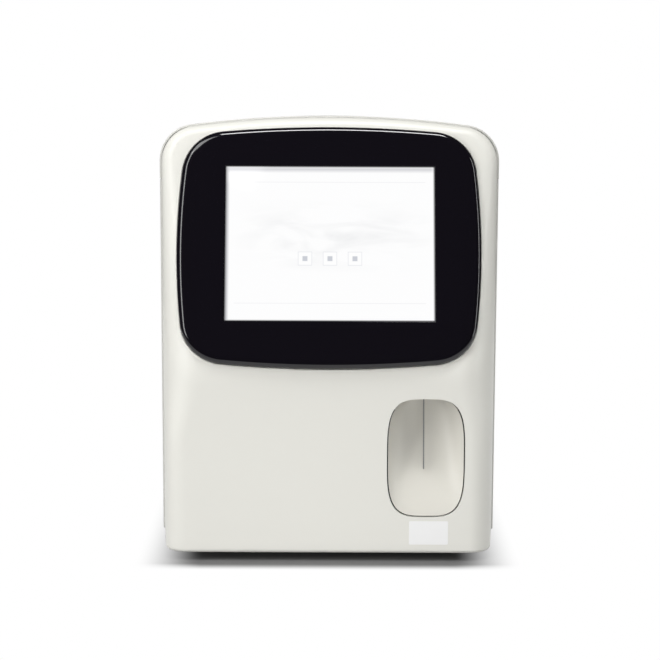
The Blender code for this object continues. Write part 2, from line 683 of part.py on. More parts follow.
def make_display():
    """Bezel, touch glass, screen module and the plate that clamps them."""
    rings = [bezel_ring(0.0, -BEZEL_SUNK)]
    for step in range(ROUND_STEPS + 1):
        angle = math.pi / 2 * step / ROUND_STEPS
        rings.append(bezel_ring(BEZEL_EDGE_WIDTH * (1 - math.cos(angle)),
                                BEZEL_PROUD - BEZEL_EDGE_ROUND * (1 - math.sin(angle))))
    bezel = make_object("display_bezel", shape((add_rings, rings)), "black_gloss")
    window_width = SCREEN_WIDTH + 2 * WINDOW_MARGIN
    window_height = SCREEN_HEIGHT + 2 * WINDOW_MARGIN
    window_bottom = SCREEN_BOTTOM - WINDOW_MARGIN
    glass_front = BEZEL_PROUD - GLASS_RECESS
    glass_back = glass_front - GLASS_THICKNESS
    lcd_front = glass_back - SEAT_GAP
    lcd_bottom = SCREEN_BOTTOM - (LCD_HEIGHT - SCREEN_HEIGHT) / 2
    pocket = shape((add_prism, face_rectangle(window_width + 2 * SEAT_GAP, window_height + 2 * SEAT_GAP,
                                              window_bottom - SEAT_GAP, lcd_front),
                    FACE_NORMAL * CUT_OVERRUN))
    cut(bezel, pocket)
    seat = face_rectangle(LCD_WIDTH + 2 * SEAT_GAP, LCD_HEIGHT + 2 * SEAT_GAP, lcd_bottom - SEAT_GAP,
                          lcd_front + SEAT_GAP)
    cut(bezel, shape((add_prism, seat, -FACE_NORMAL * (lcd_front + BEZEL_SUNK + CUT_OVERRUN))))
    make_object("touch_glass", shape((add_prism, face_rectangle(window_width, window_height, window_bottom,
                                                                glass_back),
                                      FACE_NORMAL * GLASS_THICKNESS)), "screen_glass", smooth=False)
    lcd_back = lcd_front - LCD_THICKNESS
    make_object("lcd_module", shape((add_prism, face_rectangle(LCD_WIDTH, LCD_HEIGHT, lcd_bottom, lcd_back),
                                     FACE_NORMAL * LCD_THICKNESS)), "zinc_sheet", smooth=False)
    clamp_out = -BEZEL_SUNK - SEAT_GAP
    clamp = face_rectangle(LCD_WIDTH + 2 * CLAMP_MARGIN, LCD_HEIGHT + 2 * CLAMP_MARGIN,
                           lcd_bottom - CLAMP_MARGIN, clamp_out)
    bracket = make_object("display_bracket", shape((add_prism, clamp, -FACE_NORMAL * CLAMP_PLATE)),
                          "zinc_sheet", smooth=False)
    pad_depth = lcd_back - SEAT_GAP - clamp_out + CLAMP_PLATE / 2
    pads = bmesh.new()
    for across in (-1, 0, 1):
        for row in (0, 1):
            left = SCREEN_OFFSET + across * (LCD_WIDTH / 2 - CLAMP_MARGIN) - CLAMP_MARGIN / 2
            bottom = lcd_bottom + CLAMP_MARGIN / 2 + row * (LCD_HEIGHT - 2 * CLAMP_MARGIN)
            outline = [on_face(x, v, clamp_out - CLAMP_PLATE / 2) for x, v in
                       ((left, bottom), (left + CLAMP_MARGIN, bottom),
                        (left + CLAMP_MARGIN, bottom + CLAMP_MARGIN), (left, bottom + CLAMP_MARGIN))]
            add_prism(pads, outline, FACE_NORMAL * pad_depth)
    join(bracket, pads)


# Aspirate key
def dish_depth(x, z):
    """How far the key's face lies behind the front at a point about the oval's centre."""
    rise = min(max((z + KEY_HALF_HEIGHT) / (2 * KEY_HALF_HEIGHT), 0.0), 1.0)
    room = max(1 - abs(z / KEY_HALF_HEIGHT) ** OVAL_POWER_SHARE, 0.0)
    half = max(KEY_HALF_WIDTH * room ** (1 / OVAL_POWER_SHARE), KEY_GAP)
    side = min(abs(x) / half, 1.0)
    return KEY_DISH_DEPTH * math.sin(math.pi / 2 * rise) ** DISH_RISE_SHARE * (1 - side ** DISH_SIDE_SHARE)


def make_key():
    """The dished oval key with two hinge ears, on its pin in a bracket behind the cover."""
    half_width, half_height = KEY_HALF_WIDTH - KEY_GAP, KEY_HALF_HEIGHT - KEY_GAP
    grid = []
    for row in range(DISH_ROWS + 1):
        share = -math.cos(math.pi * (row + 0.5) / (DISH_ROWS + 1))
        room = (1 - abs(share) ** OVAL_POWER_SHARE) ** (1 / OVAL_POWER_SHARE)
        z, half = half_height * share, half_width * room
        line = []
        for column in range(DISH_COLUMNS + 1):
            x = half * math.sin(math.pi / 2 * (2 * column / DISH_COLUMNS - 1))
            line.append((KEY_CENTRE_X + x, FRONT_Y + dish_depth(x, z), KEY_CENTRE_Z + z))
        grid.append(line)
    mesh = bmesh.new()
    verts = [[mesh.verts.new(point) for point in line] for line in grid]
    for low, high in zip(verts, verts[1:]):
        add_strip(mesh, low, high)
    moved = bmesh.ops.extrude_face_region(mesh, geom=mesh.faces[:])["geom"]
    bmesh.ops.translate(mesh, verts=[item for item in moved if isinstance(item, bmesh.types.BMVert)],
                        vec=(0, KEY_SKIN, 0))
    hinge = Vector((KEY_CENTRE_X, FRONT_Y + KEY_HINGE_SETBACK, KEY_HINGE_Z))
    key = make_object("aspirate_key", mesh, "key_plastic", origin=hinge)
    ears, holes = bmesh.new(), bmesh.new()
    for side in (-1, 1):
        x = KEY_CENTRE_X + side * KEY_EAR_X
        root_z = KEY_CENTRE_Z + KEY_HALF_HEIGHT * 0.8
        root_y = FRONT_Y + dish_depth(KEY_EAR_X, root_z - KEY_CENTRE_Z) + KEY_SKIN / 2
        outline = [(hinge.y - KEY_EAR_HALF, hinge.z), (hinge.y - KEY_EAR_HALF, hinge.z + KEY_EAR_HALF),
                   (hinge.y + KEY_EAR_HALF, hinge.z + KEY_EAR_HALF), (hinge.y + KEY_EAR_HALF, hinge.z),
                   (root_y + 2 * KEY_EAR_HALF, root_z), (root_y, root_z)]
        add_prism(ears, [(x - KEY_EAR_THICKNESS / 2, y, z) for y, z in outline], (KEY_EAR_THICKNESS, 0, 0))
        add_rod(holes, (x - KEY_EAR_THICKNESS, hinge.y, hinge.z), (x + KEY_EAR_THICKNESS, hinge.y, hinge.z),
                PIN_RADIUS + RUNNING_GAP, 12)
    join(key, ears)
    cut(key, holes)
    ear_outside = KEY_EAR_X + KEY_EAR_THICKNESS / 2 + SEAM_GAP
    bracket_half = ear_outside + WALL_SHEET
    face = FRONT_Y + COVER_WALL + SEAT_GAP
    flange_top = LEAN_START - LEAN_BLEND_RADIUS * math.tan(FACE_LEAN / 2)
    bracket = make_object("key_bracket", shape((
        add_box, (KEY_CENTRE_X - bracket_half, face, ROOF_Z),
        (KEY_CENTRE_X + bracket_half, face + WALL_SHEET, flange_top))), "key_plastic", smooth=False)
    join(bracket, shape((add_box, (PROBE_X - ROOF_HALF_WIDTH, face + WALL_SHEET / 2, ROOF_Z),
                         (PROBE_X + ROOF_HALF_WIDTH, FRONT_Y + ROOF_DEPTH, ROOF_Z + ROOF_THICKNESS))))
    hole_along = (ROOF_Z - PROBE_TIP_Z) / math.cos(PROBE_LEAN)
    cut(bracket, shape((add_rod, (0, 0, hole_along - CUT_OVERRUN), (0, 0, hole_along + CUT_OVERRUN),
                        4 * PROBE_RADIUS, 16)), probe_frame())
    sides, bores = bmesh.new(), bmesh.new()
    for side in (-1, 1):
        inner, outer = KEY_CENTRE_X + side * ear_outside, KEY_CENTRE_X + side * bracket_half
        add_box(sides, (min(inner, outer), face + WALL_SHEET / 2, flange_top - KEY_EAR_HALF),
                (max(inner, outer), hinge.y + KEY_EAR_HALF, hinge.z + KEY_EAR_HALF))
        add_rod(bores, (inner - side * WALL_SHEET, hinge.y, hinge.z),
                (outer + side * WALL_SHEET, hinge.y, hinge.z), PIN_RADIUS + RUNNING_GAP, 12)
    join(bracket, sides)
    cut(bracket, bores)
    make_object("key_pin", shape((add_rod, (KEY_CENTRE_X - bracket_half - PIN_RADIUS, hinge.y, hinge.z),
                                  (KEY_CENTRE_X + bracket_half + PIN_RADIUS, hinge.y, hinge.z),
                                  PIN_RADIUS, 12)), "steel")
    spring_half = KEY_EAR_X - KEY_EAR_THICKNESS
    coil_inner, coil_outer = PIN_RADIUS + RUNNING_GAP, 2 * PIN_RADIUS
    make_object("key_spring", shape((add_turned, [(coil_inner, 0), (coil_outer, 0), (coil_outer, 4 * PIN_RADIUS),
                                                  (coil_inner, 4 * PIN_RADIUS)],
                                     (KEY_CENTRE_X - spring_half, hinge.y, hinge.z), (1, 0, 0), 12)), "steel")
    return hinge


def make_key_switch(base):
    """The microswitch behind the key's lower half, on a tab bent up from the base plate."""
    low_z = KEY_CENTRE_Z - KEY_HALF_HEIGHT * 0.75
    high_z = KEY_CENTRE_Z - KEY_HALF_HEIGHT * 0.45
    middle = (low_z + high_z) / 2
    stroke = (KEY_HINGE_Z - middle) * math.tan(KEY_TRAVEL)
    behind = FRONT_Y + dish_depth(0.0, high_z - KEY_CENTRE_Z) + 2 * KEY_SKIN + stroke
    half = KEY_HALF_WIDTH / 4
    body = make_object("key_switch", shape((
        add_box, (KEY_CENTRE_X - half, behind, low_z), (KEY_CENTRE_X + half, behind + half * 0.7, high_z))),
        "black_plastic", smooth=False)
    join(body, shape((add_rod, (KEY_CENTRE_X, behind - KEY_SKIN, middle), (KEY_CENTRE_X, behind + KEY_SKIN, middle),
                      KEY_SKIN / 2, 10)))
    back = behind + half * 0.7 + SEAT_GAP
    join(base, shape((add_box, (KEY_CENTRE_X - half, back, BASE_LOW + SHEET / 2),
                      (KEY_CENTRE_X + half, back + SHEET, high_z))))


# Sampling module
def probe_frame():
    """Matrix from (across, back, up the needle) to the world, with zero at the needle's tip."""
    tip = Vector((PROBE_X, FRONT_Y + PROBE_TIP_SETBACK, PROBE_TIP_Z))
    sine, cosine = math.sin(PROBE_LEAN), math.cos(PROBE_LEAN)
    turn = Matrix(((1, 0, 0), (0, cosine, sine), (0, -sine, cosine))).to_4x4()
    return Matrix.Translation(tip) @ turn


def make_sampling():
    """Needle, wipe, carriage, rods, lead screw, motor and the frame that carries them."""
    place = probe_frame()
    tip = place.translation
    plate_low = WIPE_START + WIPE_LENGTH + SEAT_GAP
    plate_high = plate_low + FRAME_SHEET
    hub_low = plate_high + HUB_LIFTED_OFF
    hub_high = hub_low + HUB_LENGTH
    needle_top = hub_high + NEEDLE_ABOVE_HUB
    top_low = needle_top + PROBE_LIFT + HEAD_ROOM
    top_high = top_low + FRAME_SHEET

    make_object("sample_probe", shape((add_turned, [
        (0, 0), (PROBE_RADIUS, PROBE_RADIUS), (PROBE_RADIUS, hub_low), (HUB_RADIUS, hub_low),
        (HUB_RADIUS, hub_high), (HUB_RADIUS / 2, hub_high), (HUB_RADIUS / 2, needle_top), (0, needle_top)],
        (0, 0, 0), (0, 0, 1), 12)), "steel", origin=tip, transform=place)

    wipe = make_object("probe_wipe", shape((
        add_box, (-WIPE_HALF_WIDTH, -WIPE_FRONT, WIPE_START),
        (WIPE_HALF_WIDTH, WIPE_HALF_WIDTH, WIPE_START + WIPE_LENGTH))), "white_polymer", smooth=False,
        transform=place)
    cut(wipe, shape((add_rod, (0, 0, WIPE_START - CUT_OVERRUN), (0, 0, plate_low + CUT_OVERRUN),
                     2 * PROBE_RADIUS, 12)), place)

    back_face = FRAME_BACK + FRAME_SHEET
    channel = [(-WIPE_FRONT, plate_low), (back_face, plate_low), (back_face, top_high), (-WIPE_FRONT, top_high),
               (-WIPE_FRONT, top_low), (FRAME_BACK, top_low), (FRAME_BACK, plate_high), (-WIPE_FRONT, plate_high)]
    frame = make_object("sampling_frame", shape((
        add_prism, [(-FRAME_HALF_WIDTH, back, up) for back, up in channel], (2 * FRAME_HALF_WIDTH, 0, 0))),
        "zinc_sheet", smooth=False, transform=place)
    tab_left = WALL_FACE + SEAT_GAP - PROBE_X
    tab_back, tab_front = back_face - FRAME_SHEET / 4, FRAME_BACK + FRAME_SHEET / 4
    angle = [(tab_left, tab_back), (tab_left, FRAME_BACK - HUB_LENGTH),
             (tab_left + FRAME_SHEET / 2, FRAME_BACK - HUB_LENGTH), (tab_left + FRAME_SHEET / 2, tab_front),
             (-FRAME_HALF_WIDTH + FRAME_SHEET, tab_front), (-FRAME_HALF_WIDTH + FRAME_SHEET, tab_back)]
    join(frame, shape((add_prism, [(across, back, hub_high) for across, back in angle],
                       (0, 0, needle_top + PROBE_LIFT - hub_high))), place)
    cut(frame, shape((add_rod, (0, 0, plate_low - CUT_OVERRUN), (0, 0, plate_high + CUT_OVERRUN),
                      2 * PROBE_RADIUS, 12)), place)
    cut(frame, shape((add_rod, (0, SCREW_SETBACK, top_low - CUT_OVERRUN), (0, SCREW_SETBACK, top_high + CUT_OVERRUN),
                      SCREW_RADIUS + SEAM_GAP, 16)), place)

    carriage_low = hub_low + (HUB_LENGTH - CARRIAGE_LENGTH) / 2
    carriage = make_object("probe_carriage", shape((
        add_box, (-CARRIAGE_HALF_WIDTH, -HUB_RADIUS - FRAME_SHEET, carriage_low),
        (CARRIAGE_HALF_WIDTH, FRAME_BACK - FRAME_SHEET, carriage_low + CARRIAGE_LENGTH))), "aluminium",
        smooth=False, origin=tip, transform=place)
    bores = bmesh.new()
    add_rod(bores, (0, 0, carriage_low - CUT_OVERRUN), (0, 0, carriage_low + 2 * CUT_OVERRUN + CARRIAGE_LENGTH),
            HUB_RADIUS + RUNNING_GAP, 24)
    for x, y, radius in ((-ROD_SPACING / 2, ROD_SETBACK, ROD_RADIUS), (ROD_SPACING / 2, ROD_SETBACK, ROD_RADIUS),
                         (0, SCREW_SETBACK, SCREW_RADIUS)):
        add_rod(bores, (x, y, carriage_low - CUT_OVERRUN),
                (x, y, carriage_low + CUT_OVERRUN + CARRIAGE_LENGTH), radius + RUNNING_GAP, 16)
    cut(carriage, bores, place)
    for side, x in (("left", -ROD_SPACING / 2), ("right", ROD_SPACING / 2)):
        make_object(f"guide_rod_{side}", shape((add_rod, (x, ROD_SETBACK, plate_high + SEAT_GAP),
                                                (x, ROD_SETBACK, top_low - SEAT_GAP), ROD_RADIUS, 12)), "steel",
                    transform=place)
    make_object("lift_screw", shape((add_rod, (0, SCREW_SETBACK, plate_high + SEAT_GAP),
                                     (0, SCREW_SETBACK, top_high), SCREW_RADIUS, 12)), "steel",
                origin=place @ Vector((0, SCREW_SETBACK, plate_high)), transform=place)
    motor_low = top_high + SEAT_GAP
    motor = make_object("lift_motor", shape((
        add_box, (-MOTOR_SIZE / 2, SCREW_SETBACK - MOTOR_SIZE / 2, motor_low),
        (MOTOR_SIZE / 2, SCREW_SETBACK + MOTOR_SIZE / 2, motor_low + MOTOR_LENGTH))), "black_plastic",
        smooth=False, transform=place)
    motor.modifiers.new("edges", "BEVEL").width = FRAME_SHEET / 2


# Chassis and casing
def case_ring(y, inset, fall, low_z):
    """The casing's arch at one depth: from the right side up and over to the left side."""
    half = [(HALF_WIDTH, low_z, (1.0, 0.0))] + upper_outline(HALF_WIDTH, CASE_HEIGHT)
    right = [(x - n[0] * inset, y, z - n[1] * inset - max(n[1], 0) * fall) for x, z, n in half]
    return mirrored(right, (0.0, y, CASE_HEIGHT - inset - fall))


def crest_fall(y):
    """How far the crest has dropped at a depth."""
    return CREST_FALL * (y - SEAM_Y) / (REAR_Y - SEAM_Y)


def make_top_cover():
    """The casing's crowned top, with its lip at the front and rounded rear edge."""
    stations = [(CASE_FRONT_Y, LIP_STEP), (CASE_FRONT_Y + CASE_LIP / 4, LIP_STEP / 3),
                (CASE_FRONT_Y + CASE_LIP, 0.0), (REAR_Y - REAR_ROUND, 0.0)]
    for step in range(1, 4):
        angle = math.pi / 2 * step / 4
        stations.append((REAR_Y - REAR_ROUND * (1 - math.sin(angle)), REAR_ROUND * (1 - math.cos(angle))))
    mesh = bmesh.new()
    rows = [[mesh.verts.new(point) for point in case_ring(y, inset, crest_fall(y), CASE_SPLIT_Z)]
            for y, inset in stations]
    for near, far in zip(rows, rows[1:]):
        add_strip(mesh, near, far)
    top = make_object("top_cover", mesh, "warm_white_plastic")
    highest = max(top.data.polygons, key=lambda polygon: polygon.center.z)
    if highest.normal.z < 0:
        top.data.flip_normals()
    wall = top.modifiers.new("wall", "SOLIDIFY")
    wall.thickness = CASE_WALL
    wall.offset = -1
    wall.use_even_offset = True


def side_profile(side):
    """A side panel's section from above: lipped front edge, flat, then a rounded rear edge."""
    outer, inner = HALF_WIDTH, HALF_WIDTH - CASE_WALL
    points = [(outer - LIP_STEP, CASE_FRONT_Y), (outer - LIP_STEP / 3, CASE_FRONT_Y + CASE_LIP / 4),
              (outer, CASE_FRONT_Y + CASE_LIP), (outer, REAR_Y - REAR_ROUND / 2),
              (outer - REAR_ROUND / 4, REAR_Y - REAR_ROUND / 8), (outer - REAR_ROUND / 2, REAR_Y),
              (inner, REAR_Y), (inner, CASE_FRONT_Y + CASE_LIP), (outer - LIP_STEP - CASE_WALL, CASE_FRONT_Y + CASE_LIP),
              (outer - LIP_STEP - CASE_WALL, CASE_FRONT_Y)]
    return [(side * x, y) for x, y in points]


def make_side_panels():
    """The fixed left panel and the hinged service door on the right."""
    low, high = PANEL_BOTTOM, CASE_SPLIT_Z - SEAM_GAP
    hinge = Vector((HALF_WIDTH - HINGE_X_INSET, REAR_Y - HINGE_Y_INSET, low))
    for name, side, origin in (("left_panel", -1, (0, 0, 0)), ("right_door", 1, hinge)):
        outline = [(x, y, low) for x, y in side_profile(side)]
        panel = make_object(name, shape((add_prism, outline, (0, 0, high - low))), "painted_sheet",
                            smooth=False, origin=origin)
        stiffener = bmesh.new()
        inner = HALF_WIDTH - CASE_WALL
        for z in (low + PANEL_RETURN, high - PANEL_RETURN - CASE_WALL):
            xs = sorted((side * (inner + CASE_WALL / 2), side * (inner - PANEL_RETURN / 2)))
            add_box(stiffener, (xs[0], CASE_FRONT_Y + 4 * PANEL_RETURN, z),
                    (xs[1], REAR_Y - 4 * PANEL_RETURN, z + CASE_WALL))
        join(panel, stiffener)
        if side > 0:
            lugs, bores = bmesh.new(), bmesh.new()
            for z in (HINGE_LOW_Z, HINGE_HIGH_Z):
                add_rod(lugs, (hinge.x, hinge.y, z), (hinge.x, hinge.y, z + HINGE_LUG_HEIGHT),
                        HINGE_LUG_RADIUS, 16)
                add_rod(bores, (hinge.x, hinge.y, z - CUT_OVERRUN),
                        (hinge.x, hinge.y, z + HINGE_LUG_HEIGHT + CUT_OVERRUN),
                        HINGE_PIN_RADIUS + RUNNING_GAP, 12)
            join(panel, lugs)
            cut(panel, bores)
        else:
            slots = bmesh.new()
            for row in range(VENT_ROWS):
                z = VENT_LOW_Z + row * (VENT_LENGTH + VENT_ROW_GAP)
                for index in range(VENT_SLOTS):
                    y = REAR_Y - VENT_REAR_INSET - index * VENT_PITCH
                    add_box(slots, (-HALF_WIDTH - CUT_OVERRUN, y - VENT_WIDTH, z),
                            (-HALF_WIDTH + CUT_OVERRUN, y, z + VENT_LENGTH))
            cut(panel, slots)
    return hinge


def make_door_hinges(hinge):
    """Two pins on plates from the rear panel, and the magnet catch at the door's front."""
    flange_x = HALF_WIDTH - REAR_PANEL_INSET
    for name, z in (("door_hinge_lower", HINGE_LOW_Z), ("door_hinge_upper", HINGE_HIGH_Z)):
        plate_top = z - RUNNING_GAP
        plate_x = flange_x + SEAT_GAP
        outline = [(plate_x, plate_top), (plate_x, plate_top - HINGE_LUG_HEIGHT),
                   (plate_x + SHEET, plate_top - HINGE_LUG_HEIGHT), (plate_x + SHEET, plate_top - 2 * SHEET),
                   (hinge.x + HINGE_PIN_RADIUS, plate_top - 2 * SHEET), (hinge.x + HINGE_PIN_RADIUS, plate_top)]
        plate = make_object(name, shape((add_prism, [(x, hinge.y - 2 * HINGE_LUG_RADIUS, up) for x, up in outline],
                                         (0, 2 * HINGE_LUG_RADIUS, 0))), "zinc_sheet", smooth=False)
        join(plate, shape((add_rod, (hinge.x, hinge.y, plate_top - 1.5 * SHEET),
                           (hinge.x, hinge.y, z + HINGE_LUG_HEIGHT + HINGE_PIN_RADIUS), HINGE_PIN_RADIUS, 12)))
    catch_x = HALF_WIDTH - CASE_WALL - SEAT_GAP
    post_y = CASE_FRONT_Y + POST_INSET
    make_object("door_catch", shape((
        add_box, (catch_x - CATCH_SIZE, post_y, CATCH_Z), (catch_x, post_y + CATCH_SIZE, CATCH_Z + 2 * CATCH_SIZE))),
        "black_plastic", smooth=False)


def make_chassis():
    """Base tray, partition wall, front posts, rear panel and feet."""
    tray_front = FRONT_Y + SIDE_FILLET_SHOULDER / 2
    tray_rear = REAR_PANEL_Y - SHEET - SEAT_GAP
    tray_half = HALF_WIDTH - REAR_PANEL_INSET - SHEET - SEAT_GAP
    floor_half = tray_half - SHEET / 2
    nose_half = tray_half - SIDE_FILLET_SHOULDER / 3
    plan = [(-floor_half, tray_rear), (-floor_half, SEAM_Y), (-nose_half, tray_front),
            (nose_half, tray_front), (floor_half, SEAM_Y), (floor_half, tray_rear)]
    base = make_object("base_plate", shape((add_prism, [(x, y, BASE_LOW) for x, y in plan], (0, 0, SHEET))),
                       "zinc_sheet", smooth=False)
    rims = bmesh.new()
    for side in (-1, 1):
        xs = sorted((side * tray_half, side * (tray_half - SHEET)))
        add_box(rims, (xs[0], SEAM_Y + SHEET, BASE_LOW + SHEET / 4),
                (xs[1], tray_rear - SHEET / 2, BASE_TOP + BASE_FLANGE))
    join(base, rims)

    wall_low = BASE_TOP + SEAT_GAP
    wall_rear = REAR_PANEL_Y - SHEET - SEAT_GAP
    wall_foot = wall_low + SHEET / 3
    outline = [(wall_rear, wall_foot), (FRONT_Y + WALL_FACE_GAP, wall_foot),
               (FRONT_Y + WALL_FACE_GAP, LEAN_START), (face_y(WALL_TOP - TOP_CORNER_RADIUS) + WALL_FACE_GAP,
                                                       WALL_TOP - TOP_CORNER_RADIUS),
               (CASE_FRONT_Y + CASE_LIP, WALL_TOP), (wall_rear, WALL_TOP)]
    wall = make_object("partition_wall", shape((add_prism, [(WALL_BACK, y, z) for y, z in outline],
                                                (WALL_SHEET, 0, 0))), "zinc_sheet", smooth=False)
    foot = shape((add_box, (WALL_BACK - BASE_FLANGE, SEAM_Y, wall_low),
                  (WALL_BACK + WALL_SHEET / 2, wall_rear - SHEET, wall_low + SHEET)))
    join(wall, foot)

    post_y = CASE_FRONT_Y + POST_INSET - SEAT_GAP
    outer = HALF_WIDTH - REAR_PANEL_INSET - 2 * SHEET - 2 * SEAT_GAP
    post = make_object("door_post", shape((
        add_box, (outer - POST_WIDTH, post_y - SHEET, wall_low), (outer, post_y, CASE_HEIGHT - POST_TOP_DROP))),
        "zinc_sheet", smooth=False)
    join(post, shape((add_box, (outer - POST_WIDTH, post_y - SHEET / 2, wall_low),
                      (outer - POST_WIDTH + SHEET, post_y + POST_WIDTH, CASE_HEIGHT - POST_TOP_DROP))))

    feet = (("front_left", -1, FRONT_Y + FOOT_FRONT_INSET), ("front_right", 1, FRONT_Y + FOOT_FRONT_INSET),
            ("rear_left", -1, REAR_Y - FOOT_REAR_INSET), ("rear_right", 1, REAR_Y - FOOT_REAR_INSET))
    top = BASE_LOW - SEAT_GAP
    for name, side, y in feet:
        taper = FOOT_RADIUS / 10
        make_object(f"foot_{name}", shape((add_turned, [
            (0, top), (FOOT_RADIUS, top), (FOOT_RADIUS, top / 2), (FOOT_RADIUS - taper, 0), (FOOT_RADIUS / 2, 0),
            (FOOT_RADIUS / 3, top / 5), (0, top / 5)], (side * FOOT_X, y, 0), (0, 0, 1), 24)), "rubber")
    return base


def rear_outline():
    """The rear panel's outline (x, z): upright sides, stepping out under the top cover's arch."""
    inset = CASE_WALL + SEAM_GAP
    fall = CREST_FALL
    side_x = HALF_WIDTH - REAR_PANEL_INSET
    arch = [(x - n[0] * inset, z - n[1] * (inset + fall)) for x, z, n in upper_outline(HALF_WIDTH, CASE_HEIGHT)]
    right = [(side_x, BASE_LOW), (side_x, CASE_SPLIT_Z + SEAM_GAP)]
    right += [(x, z) for x, z in arch if z > CASE_SPLIT_Z + SEAM_GAP and x < side_x]
    return right + [(-x, z) for x, z in reversed(right)]


def make_rear_panel():
    """The rear sheet with its openings and turned-in side flanges."""
    outline = [(x, REAR_PANEL_Y, z) for x, z in rear_outline()]
    panel = make_object("rear_panel", shape((add_prism, outline, (0, -SHEET, 0))), "painted_sheet", smooth=False)
    flanges = bmesh.new()
    side_x = HALF_WIDTH - REAR_PANEL_INSET
    for side in (-1, 1):
        xs = sorted((side * side_x, side * (side_x - SHEET)))
        add_box(flanges, (xs[0], REAR_PANEL_Y - REAR_FLANGE, BASE_TOP + BASE_FLANGE + SEAT_GAP),
                (xs[1], REAR_PANEL_Y - SHEET / 2, CASE_SPLIT_Z))
    join(panel, flanges)
    holes = bmesh.new()
    near, far = REAR_PANEL_Y - SHEET - CUT_OVERRUN, REAR_PANEL_Y + CUT_OVERRUN
    for x, z, width, height in ((INLET_X, INLET_Z, INLET_WIDTH, INLET_HEIGHT),
                                (SWITCH_X, INLET_Z, SWITCH_WIDTH, SWITCH_HEIGHT)):
        half_x, half_z = width / 2 + SEAT_GAP, height / 2 + SEAT_GAP
        add_box(holes, (x - half_x, near, z - half_z), (x + half_x, far, z + half_z))
    (left, low), (right, high) = io_window(IO_WINDOW_MARGIN)
    add_box(holes, (left, near, low), (right, far, high))
    for index in range(3):
        z = PORT_LOW_Z + index * PORT_PITCH
        add_rod(holes, (PORT_X, near, z), (PORT_X, far, z), PORT_STEM_RADIUS + SEAT_GAP, 16)
    add_rod(holes, (FAN_X, near, FAN_Z), (FAN_X, far, FAN_Z), FAN_BORE_RADIUS, 32)
    cut(panel, holes)


# Rear connections
def io_connectors():
    """Each connector's (centre x, width, height) on the rear interface board."""
    return [(IO_X + offset, width, height) for offset, width, height in IO_CONNECTORS]


def io_window(margin):
    """The rectangle round the rear connectors, as its lower left and upper right (x, z) corners."""
    left = min(x - width / 2 for x, width, _ in io_connectors())
    right = max(x + width / 2 for x, width, _ in io_connectors())
    high = IO_Z + max(height for _, _, height in io_connectors())
    return (left - margin, IO_Z - IO_BOARD_THICKNESS - margin), (right + margin, high + margin)


